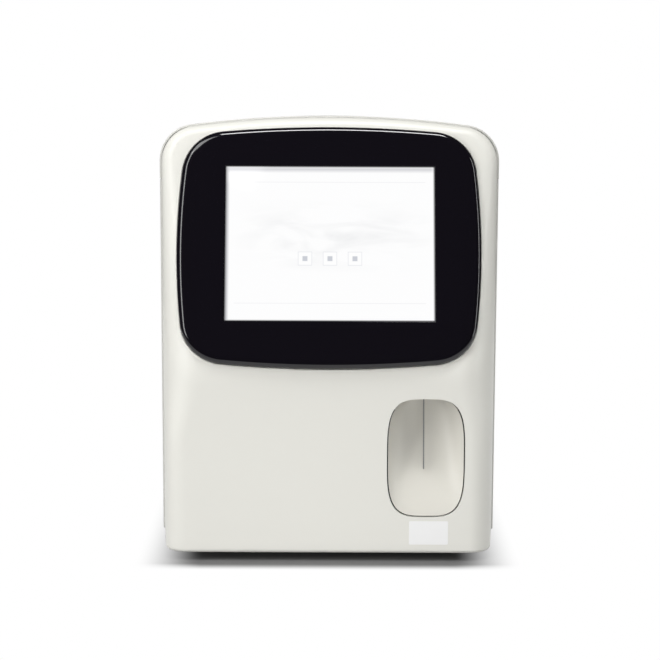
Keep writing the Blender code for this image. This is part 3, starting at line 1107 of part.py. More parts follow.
def make_rear_fittings():
    """Power inlet, rocker switch, interface board and fluid ports."""
    outside = REAR_PANEL_Y + SEAT_GAP
    inlet = make_object("power_inlet", shape((
        add_box, (INLET_X - INLET_WIDTH / 2, outside - INLET_DEPTH, INLET_Z - INLET_HEIGHT / 2),
        (INLET_X + INLET_WIDTH / 2, outside + FLANGE_THICKNESS, INLET_Z + INLET_HEIGHT / 2))), "black_plastic",
        smooth=False)
    ear = INLET_WIDTH * 0.40
    join(inlet, shape((add_box, (INLET_X - INLET_WIDTH / 2 - ear, outside, INLET_Z - INLET_HEIGHT / 2 - FLANGE_THICKNESS),
                       (INLET_X + INLET_WIDTH / 2 + ear, outside + FLANGE_THICKNESS,
                        INLET_Z + INLET_HEIGHT / 2 + FLANGE_THICKNESS))))
    socket_half_x, socket_half_z = INLET_WIDTH * 0.43, INLET_HEIGHT * 0.40
    chamfer = INLET_HEIGHT * 0.22
    outline = [(-socket_half_x, -socket_half_z), (socket_half_x, -socket_half_z),
               (socket_half_x, socket_half_z - chamfer), (socket_half_x - chamfer, socket_half_z),
               (-socket_half_x + chamfer, socket_half_z), (-socket_half_x, socket_half_z - chamfer)]
    cavity_depth = INLET_DEPTH * 0.75
    cut(inlet, shape((add_prism, [(INLET_X + x, outside + FLANGE_THICKNESS - cavity_depth, INLET_Z + z)
                                  for x, z in outline], (0, cavity_depth + CUT_OVERRUN, 0))))
    pins = bmesh.new()
    for x_share, z_share in INLET_PIN_SHARES:
        centre_x, centre_z = INLET_X + x_share * INLET_WIDTH, INLET_Z + z_share * INLET_HEIGHT
        add_box(pins, (centre_x - INLET_PIN_WIDTH / 2, outside - INLET_DEPTH * 0.9, centre_z - INLET_PIN_HEIGHT / 2),
                (centre_x + INLET_PIN_WIDTH / 2, outside - FLANGE_THICKNESS, centre_z + INLET_PIN_HEIGHT / 2))
    join(inlet, pins)

    body_back = outside - SWITCH_DEPTH
    frame = make_object("switch_frame", shape((
        add_box, (SWITCH_X - SWITCH_WIDTH / 2, body_back, INLET_Z - SWITCH_HEIGHT / 2),
        (SWITCH_X + SWITCH_WIDTH / 2, outside + FLANGE_THICKNESS / 2, INLET_Z + SWITCH_HEIGHT / 2))),
        "black_plastic", smooth=False)
    rim = FLANGE_THICKNESS / 2
    join(frame, shape((add_box, (SWITCH_X - SWITCH_WIDTH / 2 - rim, outside, INLET_Z - SWITCH_HEIGHT / 2 - rim),
                       (SWITCH_X + SWITCH_WIDTH / 2 + rim, outside + rim, INLET_Z + SWITCH_HEIGHT / 2 + rim))))
    rocker_half_x = SWITCH_WIDTH / 2 - rim
    rocker_half_z = SWITCH_HEIGHT / 2 - rim
    pivot_y = outside - SWITCH_WIDTH / 3
    cut(frame, shape((add_box, (SWITCH_X - rocker_half_x - SEAT_GAP, body_back + 2 * rim,
                                INLET_Z - rocker_half_z - SEAT_GAP),
                      (SWITCH_X + rocker_half_x + SEAT_GAP, outside + CUT_OVERRUN,
                       INLET_Z + rocker_half_z + SEAT_GAP))))
    nose = rocker_half_z - 2 * SEAM_GAP
    outline = [(pivot_y - rim, -rim), (pivot_y - rim, rim), (outside, nose), (outside + rim, nose - rim / 2),
               (outside - rim / 2, 0), (outside + rim, -nose + rim / 2), (outside, -nose)]
    tilted = Matrix.Translation((SWITCH_X, pivot_y, INLET_Z)) @ Matrix.Rotation(-ROCKER_TILT, 4, "X")
    make_object("power_rocker", shape((add_prism, [(-rocker_half_x, y - pivot_y, z) for y, z in outline],
                                       (2 * rocker_half_x, 0, 0))), "black_plastic", smooth=False,
                origin=(SWITCH_X, pivot_y, INLET_Z), transform=tilted)

    board_top = IO_Z - SEAT_GAP
    inside = REAR_PANEL_Y - SHEET - SEAT_GAP
    board = make_object("io_board", shape((
        add_box, (IO_X - IO_BOARD_REACH, inside - IO_BOARD_DEPTH, board_top - IO_BOARD_THICKNESS),
        (WALL_BACK - SEAT_GAP, inside, board_top))), "board_green", smooth=False)
    shells, mouths = bmesh.new(), bmesh.new()
    (left, low), (right, high) = io_window(IO_WINDOW_MARGIN + IO_PLATE_LAP)
    join(board, shape((add_box, (left, inside - IO_PLATE_THICKNESS, low), (right, inside, high))))
    for x, width, height in io_connectors():
        add_box(shells, (x - width / 2, inside - width, board_top - IO_BOARD_THICKNESS / 2),
                (x + width / 2, REAR_PANEL_Y + SEAM_GAP, IO_Z + height))
        wall = height * 0.12
        add_box(mouths, (x - width / 2 + wall, REAR_PANEL_Y - height, IO_Z + wall),
                (x + width / 2 - wall, REAR_PANEL_Y + CUT_OVERRUN, IO_Z + height - wall))
    join(board, shells)
    cut(board, mouths)

    for index, (name, finish) in enumerate((("diluent_port", "blue_plastic"), ("lyse_port", "yellow_plastic"),
                                            ("waste_port", "red_plastic"))):
        tip = REAR_Y + REAR_REACH - outside
        barb = tip / 5
        make_object(name, shape((add_turned, [
            (PORT_BORE_RADIUS, -INLET_DEPTH / 2), (PORT_STEM_RADIUS, -INLET_DEPTH / 2), (PORT_STEM_RADIUS, 0),
            (PORT_FLANGE_RADIUS, 0), (PORT_FLANGE_RADIUS, barb), (PORT_STEM_RADIUS * 0.7, barb),
            (PORT_STEM_RADIUS * 0.7, 2 * barb), (PORT_STEM_RADIUS, 2 * barb), (PORT_STEM_RADIUS * 0.7, 3.5 * barb),
            (PORT_STEM_RADIUS, 3.5 * barb), (PORT_STEM_RADIUS * 0.6, tip), (PORT_BORE_RADIUS, tip)],
            (PORT_X, outside, PORT_LOW_Z + index * PORT_PITCH), (0, 1, 0), 16)), finish)


def make_fan():
    """Square fan frame inside the rear panel, its rotor, and the wire guard outside."""
    inside = REAR_PANEL_Y - SHEET - SEAT_GAP
    half = FAN_SIZE / 2
    frame = make_object("fan_frame", shape((
        add_box, (FAN_X - half, inside - FAN_DEPTH, FAN_Z - half), (FAN_X + half, inside, FAN_Z + half))),
        "black_plastic", smooth=False)
    cut(frame, shape((add_rod, (FAN_X, inside - FAN_DEPTH - CUT_OVERRUN, FAN_Z),
                      (FAN_X, inside + CUT_OVERRUN, FAN_Z), FAN_BORE_RADIUS, 32)))
    strut = FAN_DEPTH / 10
    reach = half - strut / 2
    quarter = [(strut, strut), (strut, reach), (-strut, reach)]
    cross = [(x, z) for turn in range(4) for x, z in
             [(a, b) if turn == 0 else (-b, a) if turn == 1 else (-a, -b) if turn == 2 else (b, -a)
              for a, b in quarter]]
    join(frame, shape((add_prism, [(FAN_X + x, inside - FAN_DEPTH + strut / 4, FAN_Z + z) for x, z in cross],
                       (0, strut, 0))))
    join(frame, shape((add_rod, (FAN_X, inside - FAN_DEPTH + strut / 8, FAN_Z),
                       (FAN_X, inside - FAN_DEPTH + 2 * strut, FAN_Z), FAN_HUB_RADIUS, 20)))

    rotor_back = inside - FAN_DEPTH + 2 * strut + RUNNING_GAP
    rotor_front = inside - strut
    rotor = make_object("fan_rotor", shape((add_rod, (FAN_X, rotor_back, FAN_Z), (FAN_X, rotor_front, FAN_Z),
                                            FAN_HUB_RADIUS, 20)), "black_plastic",
                        origin=(FAN_X, rotor_back, FAN_Z))
    blades = bmesh.new()
    widest = FAN_HUB_RADIUS * 0.45 * 1.5
    blade_tip = math.sqrt((FAN_BORE_RADIUS - 2 * SEAM_GAP) ** 2 - widest ** 2)
    for index in range(FAN_BLADES):
        turn = Matrix.Rotation(2 * math.pi * index / FAN_BLADES, 4, "Y")
        place = Matrix.Translation((FAN_X, 0, FAN_Z)) @ turn
        chord = FAN_HUB_RADIUS * 0.45
        thick = strut / 3
        low, high = rotor_back + strut / 2, rotor_front - strut / 2
        rings = []
        for radius, share in ((FAN_HUB_RADIUS - strut, 0.8), (blade_tip, 1.5)):
            sweep = chord * share
            rings.append([place @ Vector(point) for point in (
                (-sweep, low, radius), (-sweep + 2 * thick, low, radius), (sweep, high, radius),
                (sweep - 2 * thick, high, radius))])
        add_rings(blades, rings)
    join(rotor, blades)

    outside = REAR_PANEL_Y + SEAT_GAP
    wire = GUARD_WIRE
    guard = make_object("fan_guard", shape((add_box, (FAN_X - half, outside, FAN_Z - wire / 2),
                                            (FAN_X + half, outside + wire, FAN_Z + wire / 2))), "steel",
                        smooth=False)
    join(guard, shape((add_box, (FAN_X - wire / 2, outside, FAN_Z - half),
                       (FAN_X + wire / 2, outside + wire, FAN_Z + half))))
    for ring in range(GUARD_RINGS):
        radius = FAN_BORE_RADIUS * (ring + 1) / GUARD_RINGS
        join(guard, shape((add_turned, [(radius - wire / 2, 0), (radius + wire / 2, 0),
                                        (radius + wire / 2, wire), (radius - wire / 2, wire)],
                           (FAN_X, outside, FAN_Z), (0, 1, 0), 24)))


# Dosing syringes
def make_syringes():
    """Two lead-screw syringes on one frame: barrels, plungers, screws and motors."""
    back = WALL_FACE + SEAT_GAP
    top_low = BARREL_TOP + SEAT_GAP
    front_y = SAMPLE_Y - SYRINGE_MOTOR / 2 - SYRINGE_PLATE
    rear_y = DILUENT_Y + SYRINGE_MOTOR / 2 + SYRINGE_PLATE
    screw_x = SYRINGE_X + SYRINGE_SCREW_OFFSET
    outer_x = screw_x + SYRINGE_MOTOR / 2
    frame = make_object("syringe_frame", shape((
        add_box, (back, front_y, SYRINGE_FRAME_LOW), (back + SYRINGE_PLATE, rear_y, top_low + 3 * SYRINGE_PLATE))),
        "aluminium", smooth=False)
    shelves = bmesh.new()
    add_box(shelves, (back + SYRINGE_PLATE / 2, front_y, top_low), (outer_x, rear_y, top_low + 3 * SYRINGE_PLATE))
    add_box(shelves, (back + SYRINGE_PLATE / 2, front_y, SYRINGE_FRAME_LOW),
            (outer_x, rear_y, SYRINGE_FRAME_LOW + SYRINGE_PLATE))
    join(frame, shelves)
    holes = bmesh.new()
    for y in (SAMPLE_Y, DILUENT_Y):
        add_rod(holes, (screw_x, y, SYRINGE_FRAME_LOW - CUT_OVERRUN),
                (screw_x, y, SYRINGE_FRAME_LOW + CUT_OVERRUN), SYRINGE_SCREW_RADIUS + SEAM_GAP, 16)
    cut(frame, holes)
    barrel_low = BARREL_TOP - BARREL_LENGTH
    for name, y, bore, radius in (("sample", SAMPLE_Y, SAMPLE_BORE, SAMPLE_BARREL),
                                  ("diluent", DILUENT_Y, DILUENT_BORE, DILUENT_BARREL)):
        make_object(f"{name}_barrel", shape((add_turned, [
            (bore, 0), (radius, 0), (radius, BARREL_LENGTH), (bore, BARREL_LENGTH)],
            (SYRINGE_X, y, barrel_low), (0, 0, 1), 20)), "clear_plastic")
        rod = bore * PLUNGER_ROD_SHARE
        rod_low = barrel_low - CROSSHEAD
        head_top = BARREL_TOP - RUNNING_GAP
        plunger = make_object(f"{name}_plunger", shape((add_turned, [
            (0, rod_low), (rod, rod_low), (rod, head_top - PLUNGER_HEAD), (bore - RUNNING_GAP, head_top - PLUNGER_HEAD),
            (bore - RUNNING_GAP, head_top), (0, head_top)], (SYRINGE_X, y, 0), (0, 0, 1), 16)), "steel",
            origin=(SYRINGE_X, y, head_top))
        arm_top = barrel_low - 2 * SEAM_GAP
        half = SYRINGE_SCREW_RADIUS * 2.5
        join(plunger, shape((add_box, (SYRINGE_X - half, y - half, arm_top - CROSSHEAD),
                             (screw_x + half, y + half, arm_top))))
        cut(plunger, shape((add_rod, (screw_x, y, arm_top - CROSSHEAD - CUT_OVERRUN),
                            (screw_x, y, arm_top + CUT_OVERRUN / 2), SYRINGE_SCREW_RADIUS + RUNNING_GAP, 16)))
        screw_low = SYRINGE_FRAME_LOW - RUNNING_GAP
        make_object(f"{name}_screw", shape((add_rod, (screw_x, y, screw_low),
                                            (screw_x, y, top_low - SEAT_GAP), SYRINGE_SCREW_RADIUS, 12)), "steel",
                    origin=(screw_x, y, screw_low))
        motor_top = screw_low - SEAT_GAP
        motor = make_object(f"{name}_motor", shape((
            add_box, (screw_x - SYRINGE_MOTOR / 2, y - SYRINGE_MOTOR / 2, motor_top - SYRINGE_MOTOR),
            (screw_x + SYRINGE_MOTOR / 2, y + SYRINGE_MOTOR / 2, motor_top))), "black_plastic", smooth=False)
        motor.modifiers.new("edges", "BEVEL").width = SYRINGE_PLATE / 3


# Fluidics
def make_fluidics():
    """Counting baths on their shelf, valve manifold, vacuum vessel and waste pump."""
    back = WALL_FACE + SEAT_GAP
    shelf_low = BATH_BASE_Z - SEAT_GAP - BATH_SHELF
    front_y, rear_y = WBC_BATH_Y - 1.5 * BATH_RADIUS, RBC_BATH_Y + 1.5 * BATH_RADIUS
    shelf = make_object("bath_bracket", shape((
        add_box, (back, front_y, shelf_low), (BATH_X + 1.5 * BATH_RADIUS, rear_y, shelf_low + BATH_SHELF))),
        "aluminium", smooth=False)
    join(shelf, shape((add_box, (back, front_y, shelf_low + BATH_SHELF / 2),
                       (back + BATH_SHELF, rear_y, BATH_BASE_Z + BATH_HEIGHT))))
    for name, y in (("wbc_bath", WBC_BATH_Y), ("rbc_bath", RBC_BATH_Y)):
        inner = BATH_RADIUS - BATH_WALL
        make_object(name, shape((add_turned, [
            (0, 0), (BATH_RADIUS * 0.6, 0), (BATH_RADIUS, BATH_HEIGHT * 0.25), (BATH_RADIUS, BATH_HEIGHT),
            (inner, BATH_HEIGHT), (inner, BATH_HEIGHT * 0.3), (inner * 0.4, BATH_WALL * 2), (0, BATH_WALL * 2)],
            (BATH_X, y, BATH_BASE_Z), (0, 0, 1), 20)), "clear_plastic")

    manifold_x = back + MANIFOLD_DEPTH
    last_y = VALVE_FIRST_Y + (VALVE_COUNT - 1) * VALVE_PITCH
    manifold = make_object("valve_manifold", shape((
        add_box, (back, VALVE_FIRST_Y - VALVE_PITCH / 2, VALVE_Z - MANIFOLD_HEIGHT / 2),
        (manifold_x, last_y + VALVE_PITCH / 2, VALVE_Z + MANIFOLD_HEIGHT / 2))), "white_polymer", smooth=False)
    valves = bmesh.new()
    for index in range(VALVE_COUNT):
        y = VALVE_FIRST_Y + index * VALVE_PITCH
        add_rod(valves, (manifold_x - BATH_WALL, y, VALVE_Z), (manifold_x + VALVE_LENGTH, y, VALVE_Z),
                VALVE_RADIUS, 12)
    join(manifold, valves)

    foot = BASE_TOP + SEAT_GAP
    neck = VESSEL_RADIUS * 0.35
    make_object("vacuum_chamber", shape((add_turned, [
        (0, 0), (VESSEL_RADIUS, 0), (VESSEL_RADIUS, VESSEL_HEIGHT - VESSEL_NECK), (VESSEL_RADIUS * 0.8, VESSEL_HEIGHT),
        (neck, VESSEL_HEIGHT), (neck, VESSEL_HEIGHT + VESSEL_NECK), (0, VESSEL_HEIGHT + VESSEL_NECK)],
        (VESSEL_X, VESSEL_Y, foot), (0, 0, 1), 24)), "white_polymer")

    pump = make_object("waste_pump", shape((
        add_box, (back, PUMP_Y - PUMP_BODY / 2, PUMP_Z - PUMP_BODY / 2),
        (back + PUMP_DEPTH, PUMP_Y + PUMP_BODY / 2, PUMP_Z + PUMP_BODY / 2))), "black_plastic", smooth=False)
    head_x = back + PUMP_DEPTH
    rim = PUMP_HEAD_RADIUS * 0.85
    join(pump, shape((add_turned, [(rim, -BATH_WALL), (PUMP_HEAD_RADIUS, -BATH_WALL), (PUMP_HEAD_RADIUS, PUMP_HEAD_DEPTH),
                                   (rim, PUMP_HEAD_DEPTH)], (head_x, PUMP_Y, PUMP_Z), (1, 0, 0), 24)))
    rotor_low = head_x + RUNNING_GAP
    hub = PUMP_HEAD_RADIUS * 0.25
    rotor = make_object("pump_rotor", shape((add_rod, (rotor_low, PUMP_Y, PUMP_Z),
                                             (rotor_low + PUMP_HEAD_DEPTH * 0.8, PUMP_Y, PUMP_Z), hub, 16)),
                        "white_polymer", origin=(rotor_low, PUMP_Y, PUMP_Z))
    arms = bmesh.new()
    for index in range(PUMP_ROLLERS):
        turn = Matrix.Rotation(2 * math.pi * index / PUMP_ROLLERS, 4, "X")
        place = Matrix.Translation((0, PUMP_Y, PUMP_Z)) @ turn
        roller = hub * 0.7
        centre = rim - roller - 2 * RUNNING_GAP
        arm = bmesh.new()
        add_box(arm, (rotor_low, -roller * 0.6, 0), (rotor_low + PUMP_HEAD_DEPTH * 0.25, roller * 0.6, centre))
        bmesh.ops.transform(arm, matrix=place, verts=arm.verts)
        join(rotor, arm)
        add_rod(arms, place @ Vector((rotor_low, 0, centre)),
                place @ Vector((rotor_low + PUMP_HEAD_DEPTH * 0.7, 0, centre)), roller, 12)
    join(rotor, arms)


def make_electronics():
    """Main board on the partition's left face and the power supply on the base."""
    board_x = WALL_BACK - BOARD_STANDOFF
    board = make_object("main_board", shape((
        add_box, (board_x - BOARD_THICKNESS, BOARD_FRONT_Y, BOARD_LOW_Z), (board_x, BOARD_REAR_Y, BOARD_HIGH_Z))),
        "board_green", smooth=False)
    extras = bmesh.new()
    inset = BOARD_STANDOFF
    for y in (BOARD_FRONT_Y + inset, BOARD_REAR_Y - inset):
        for z in (BOARD_LOW_Z + inset, BOARD_HIGH_Z - inset):
            add_rod(extras, (board_x - BOARD_THICKNESS / 2, y, z), (WALL_BACK - SEAT_GAP, y, z), inset / 3, 8)
    length, height = BOARD_REAR_Y - BOARD_FRONT_Y, BOARD_HIGH_Z - BOARD_LOW_Z
    part_shares = ((0.20, 0.50, 0.18, 0.16, 0.4), (0.55, 0.60, 0.14, 0.20, 0.5), (0.80, 0.25, 0.12, 0.12, 1.2),
                   (0.35, 0.20, 0.30, 0.06, 0.9), (0.50, 0.90, 0.60, 0.05, 1.0))
    for y_share, z_share, width_share, height_share, depth_share in part_shares:
        y, z = BOARD_FRONT_Y + y_share * length, BOARD_LOW_Z + z_share * height
        add_box(extras, (board_x - BOARD_THICKNESS - depth_share * BOARD_STANDOFF,
                         y - width_share * length / 2, z - height_share * height / 2),
                (board_x - BOARD_THICKNESS / 2, y + width_share * length / 2, z + height_share * height / 2))
    join(board, extras)

    foot = BASE_TOP + SEAT_GAP
    right = WALL_BACK - BASE_FLANGE - SUPPLY_INSET
    rear = REAR_PANEL_Y - SUPPLY_REAR_ROOM
    supply = make_object("power_supply", shape((
        add_box, (right - SUPPLY_WIDTH, rear - SUPPLY_DEPTH, foot), (right, rear, foot + SUPPLY_HEIGHT))),
        "aluminium", smooth=False)
    slots = bmesh.new()
    count = 8
    for index in range(count):
        y = rear - SUPPLY_DEPTH + SUPPLY_DEPTH * (index + 1) / (count + 1)
        add_box(slots, (right - SUPPLY_WIDTH * 0.85, y - SHEET, foot + SUPPLY_HEIGHT - SHEET),
                (right - SUPPLY_WIDTH * 0.15, y + SHEET, foot + SUPPLY_HEIGHT + CUT_OVERRUN))
    cut(supply, slots)


def build():
    """Clear the scene and make every piece."""
    for obj in list(bpy.data.objects):
        bpy.data.objects.remove(obj, do_unlink=True)
    for name, values in FINISHES.items():
        MATERIALS[name] = make_material(name, *values)
    make_front_cover()
    make_display()
    make_key()
    make_sampling()
    make_top_cover()
    hinge = make_side_panels()
    make_door_hinges(hinge)
    base = make_chassis()
    make_key_switch(base)
    make_rear_panel()
    make_rear_fittings()
    make_fan()
    make_syringes()
    make_fluidics()
    make_electronics()


build()
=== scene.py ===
"""Looks of a bench-top hematology analyzer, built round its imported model.

Metres, +Z up, front towards -Y. Every piece is made in its place and rides on the body that carries it.
"""

import logging
import math
from dataclasses import dataclass
from enum import Enum
from typing import Iterable, Sequence

import bmesh
import bpy
from mathutils import Matrix, Vector
from mathutils.bvhtree import BVHTree


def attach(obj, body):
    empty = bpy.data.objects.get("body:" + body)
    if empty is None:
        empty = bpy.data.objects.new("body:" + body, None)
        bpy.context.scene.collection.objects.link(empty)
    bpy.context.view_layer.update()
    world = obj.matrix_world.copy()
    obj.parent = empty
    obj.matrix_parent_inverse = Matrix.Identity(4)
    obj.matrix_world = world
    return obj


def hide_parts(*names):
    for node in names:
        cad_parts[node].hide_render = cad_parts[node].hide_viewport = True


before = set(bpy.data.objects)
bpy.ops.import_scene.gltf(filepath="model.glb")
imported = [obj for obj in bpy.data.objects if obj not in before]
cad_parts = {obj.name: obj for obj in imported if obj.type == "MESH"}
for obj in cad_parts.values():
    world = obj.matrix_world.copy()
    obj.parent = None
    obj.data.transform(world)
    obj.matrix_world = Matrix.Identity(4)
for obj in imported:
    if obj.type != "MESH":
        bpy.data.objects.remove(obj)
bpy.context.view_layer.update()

logging.basicConfig(level=logging.INFO, format="%(message)s")
LOG = logging.getLogger("analyzer")

Point = tuple[float, float, float]
Colour = tuple[float, float, float]
EdgePoint = tuple[float, float, tuple[float, float]]
Feed = bpy.types.NodeSocket | bpy.types.Node | float | Sequence[float]

FRONT_Y = -0.2146229
CASE_DEPTH = 0.4200
SEAM_Y = -0.1276488
SEAM_GAP = 0.0008
CASE_FRONT_Y = SEAM_Y + SEAM_GAP
REAR_Y = FRONT_Y + CASE_DEPTH
REAR_SET_IN = 0.0040
REAR_PANEL_Y = REAR_Y - REAR_SET_IN
SMOOTH_ANGLE = 35.0


class Body(Enum):
    """The bodies that pieces ride on."""

    CASE = "case"
    DOOR = "door"
    KEY = "key"
    PROBE = "probe"
    LIFT_SCREW = "lift_screw"
    SAMPLE_PLUNGER = "sample_plunger"
    DILUENT_PLUNGER = "diluent_plunger"
    SAMPLE_SCREW = "sample_screw"
    DILUENT_SCREW = "diluent_screw"
    FAN = "fan"
    PUMP = "pump"
    ROCKER = "rocker"


class Texture(Enum):
    """How a moulded or sprayed surface feels close up: its grain's scale and depth."""

    SATIN = (1400.0, 0.00003)
    SPRAYED = (900.0, 0.00005)
    COARSE = (600.0, 0.00009)
    POLISHED = (2500.0, 0.0)


class Edge(Enum):
    """How far a piece's edges are rounded."""

    SHARP = 0.0
    FINE = 0.0003
    MACHINED = 0.0004
    FOLDED = 0.0006
    MOULDED = 0.0008


class Side(Enum):
    """Which side of a level something lies on, as a Math node's operation."""

    ABOVE = "GREATER_THAN"
    BELOW = "LESS_THAN"


# Node trees
def spaced(feeds: dict[str, Feed]) -> dict[str, Feed]:
    """The same feeds, with spaces for the underscores in their names."""
    return {label.replace("_", " "): value for label, value in feeds.items()}


def socket_type(value: object) -> str:
    """The type of socket that holds a value.

    Args:
        value: a count, a number, a vector, a colour with its alpha, or the type itself.

    Returns:
        The socket's type.
    """
    if isinstance(value, str):
        return value
    if isinstance(value, tuple):
        return "NodeSocketColor" if len(value) == 4 else "NodeSocketVector"
    return "NodeSocketInt" if isinstance(value, int) else "NodeSocketFloat"


class Nodes:
    """Short ways to add nodes to a tree. A node given for an input stands for its first output."""

    def __init__(self, tree: bpy.types.NodeTree) -> None:
        """Take the tree."""
        self.tree = tree

    def feed(self, node: bpy.types.Node, feeds: dict[str | int, Feed]) -> None:
        """Link or set a node's inputs.

        Args:
            node: the node.
            feeds: input name or index to a node, a socket or a plain value; a colour has no alpha.
        """
        for label, value in feeds.items():
            socket = node.inputs[label]
            if isinstance(value, bpy.types.Node):
                self.tree.links.new(value.outputs[0], socket)
            elif isinstance(value, bpy.types.NodeSocket):
                self.tree.links.new(value, socket)
            else:
                socket.default_value = (*value, 1.0) if socket.type == "RGBA" else value

    def add(self, kind: str, feeds: dict[str | int, Feed] | None = None,
            **settings: object) -> bpy.types.Node:
        """Add a node.

        Args:
            kind: the node's type.
            feeds: what goes into its inputs.
            **settings: properties of the node.

        Returns:
            The new node.
        """
        node = self.tree.nodes.new(kind)
        for label, value in settings.items():
            setattr(node, label, value)
        self.feed(node, feeds or {})
        return node

    def math(self, operation: str, *values: Feed, clamped: bool = False) -> bpy.types.Node:
        """A Math node on some values."""
        return self.add("ShaderNodeMath", dict(enumerate(values)), operation=operation, use_clamp=clamped)

    def vector(self, x: Feed, y: Feed, z: Feed) -> bpy.types.Node:
        """A vector made of three values."""
        return self.add("ShaderNodeCombineXYZ", {"X": x, "Y": y, "Z": z})

    def mix(self, share: Feed, low: Feed, high: Feed) -> bpy.types.NodeSocket:
        """Two colours, blended by a share."""
        return self.add("ShaderNodeMix", {"Factor": share, 6: low, 7: high}, data_type="RGBA").outputs[2]

    def scaled(self, colour: Feed, share: Feed) -> bpy.types.Node:
        """A colour times a number."""
        return self.add("ShaderNodeVectorMath", {0: colour, "Scale": share}, operation="SCALE")

    def place(self) -> bpy.types.NodeSocket:
        """The Object coordinates."""
        return self.add("ShaderNodeTexCoord").outputs["Object"]

    def noise(self, vector: Feed, scale: Feed, detail: float, roughness: float = 0.5,
              distortion: float = 0.0) -> bpy.types.Node:
        """A Noise texture."""
        return self.add("ShaderNodeTexNoise", {"Vector": vector, "Scale": scale, "Detail": detail,
                                               "Roughness": roughness, "Distortion": distortion})

    def use(self, group: bpy.types.NodeTree, **feeds: Feed) -> bpy.types.NodeOutputs:
        """The outputs of a group; underscores in a name stand for spaces."""
        return self.add("ShaderNodeGroup", spaced(feeds), node_tree=group).outputs


class NodeKit(Nodes):
    """A node group in the making, with named inputs."""

    def __init__(self, name: str, kind: str, inputs: dict[str, object], outputs: dict[str, str]) -> None:
        """Start the group.

        Args:
            name: the group's name.
            kind: its tree's type.
            inputs: each input's default, or its socket's type where it has none.
            outputs: each output's socket type.
        """
        super().__init__(bpy.data.node_groups.new(name, kind))
        self.identifiers: dict[str, str] = {}
        for label, value in inputs.items():
            held = socket_type(value)
            socket = self.tree.interface.new_socket(name=label, in_out="INPUT", socket_type=held)
            if not isinstance(value, str):
                socket.default_value = value
            self.identifiers[label] = socket.identifier
        for label, held in outputs.items():
            self.tree.interface.new_socket(name=label, in_out="OUTPUT", socket_type=held)
        self.given = self.tree.nodes.new("NodeGroupInput").outputs
        self.sink = self.tree.nodes.new("NodeGroupOutput")


def finish_kit(name: str, **inputs: object) -> NodeKit:
    """Start a shader group that gives a colour, a roughness and a height."""
    return NodeKit(name, "ShaderNodeTree", spaced(inputs), {
        "Colour": "NodeSocketColor", "Roughness": "NodeSocketFloat", "Height": "NodeSocketFloat"})


def build_grain_group() -> bpy.types.NodeTree:
    """A fine moulded grain with slight changes of tone and gloss.

    Returns:
        The group.
    """
    kit = finish_kit("moulded_grain", Colour=(0.8, 0.8, 0.8, 1.0), Grain=1400.0, Tone=0.02, Roughness=0.4,
                     Gloss_Change=0.04)
    place = kit.place()
    fine = kit.noise(place, kit.given["Grain"], detail=3.0, roughness=0.6)
    broad = kit.noise(place, scale=9.0, detail=4.0, roughness=0.55)
    shift = kit.math("SUBTRACT", broad, 0.5)
    tone = kit.math("MULTIPLY_ADD", shift, kit.given["Tone"], 1.0)
    centred = kit.math("SUBTRACT", kit.math("ADD", shift, fine), 0.5)
    gloss = kit.math("MULTIPLY_ADD", centred, kit.given["Gloss Change"], kit.given["Roughness"])
    colour = kit.scaled(kit.given["Colour"], tone)
    kit.feed(kit.sink, {"Colour": colour, "Roughness": gloss, "Height": fine})
    return kit.tree


def build_metal_group() -> bpy.types.NodeTree:
    """Drawn or rolled metal: fine streaks along one axis over cloudy tone.

    Returns:
        The group.
    """
    kit = finish_kit("drawn_metal", Colour=(0.6, 0.6, 0.6, 1.0), Stretch=(40.0, 900.0, 900.0), Cloud=0.10,
                     Roughness=0.3)
    place = kit.place()
    stretched = kit.add("ShaderNodeVectorMath", {0: place, 1: kit.given["Stretch"]}, operation="MULTIPLY")
    streak = kit.noise(stretched, scale=1.0, detail=2.0)
    cloud = kit.noise(place, scale=60.0, detail=5.0, roughness=0.6)
    shift = kit.math("SUBTRACT", cloud, 0.5)
    tone = kit.math("MULTIPLY_ADD", shift, kit.given["Cloud"], 1.0)
    gloss_change = 0.16
    gloss = kit.math("MULTIPLY_ADD", kit.math("SUBTRACT", streak, 0.5), gloss_change,
                     kit.given["Roughness"])
    colour = kit.scaled(kit.given["Colour"], tone)
    kit.feed(kit.sink, {"Colour": colour, "Roughness": gloss, "Height": streak})
    return kit.tree


def build_tile_group() -> bpy.types.NodeTree:
    """A soft-edged rectangle in a flat map.

    Returns:
        The group, whose mask is 1 inside and 0 outside.
    """
    kit = NodeKit("soft_tile", "ShaderNodeTree", {
        "Vector": (0.0, 0.0, 0.0), "Centre X": 0.5, "Centre Y": 0.5, "Half Width": 0.1, "Half Height": 0.1,
        "Edge": 0.002}, {"Mask": "NodeSocketFloat"})
    sides = kit.add("ShaderNodeSeparateXYZ", {0: kit.given["Vector"]}).outputs
    masks = []
    for axis, centre, half in (("X", "Centre X", "Half Width"), ("Y", "Centre Y", "Half Height")):
        away = kit.math("ABSOLUTE", kit.math("SUBTRACT", sides[axis], kit.given[centre]))
        share = kit.math("DIVIDE", kit.math("SUBTRACT", kit.given[half], away), kit.given["Edge"])
        masks.append(kit.math("ADD", share, 0.5, clamped=True))
    kit.feed(kit.sink, {"Mask": kit.math("MULTIPLY", *masks)})
    return kit.tree


GRAIN = build_grain_group()
METAL = build_metal_group()
TILE = build_tile_group()


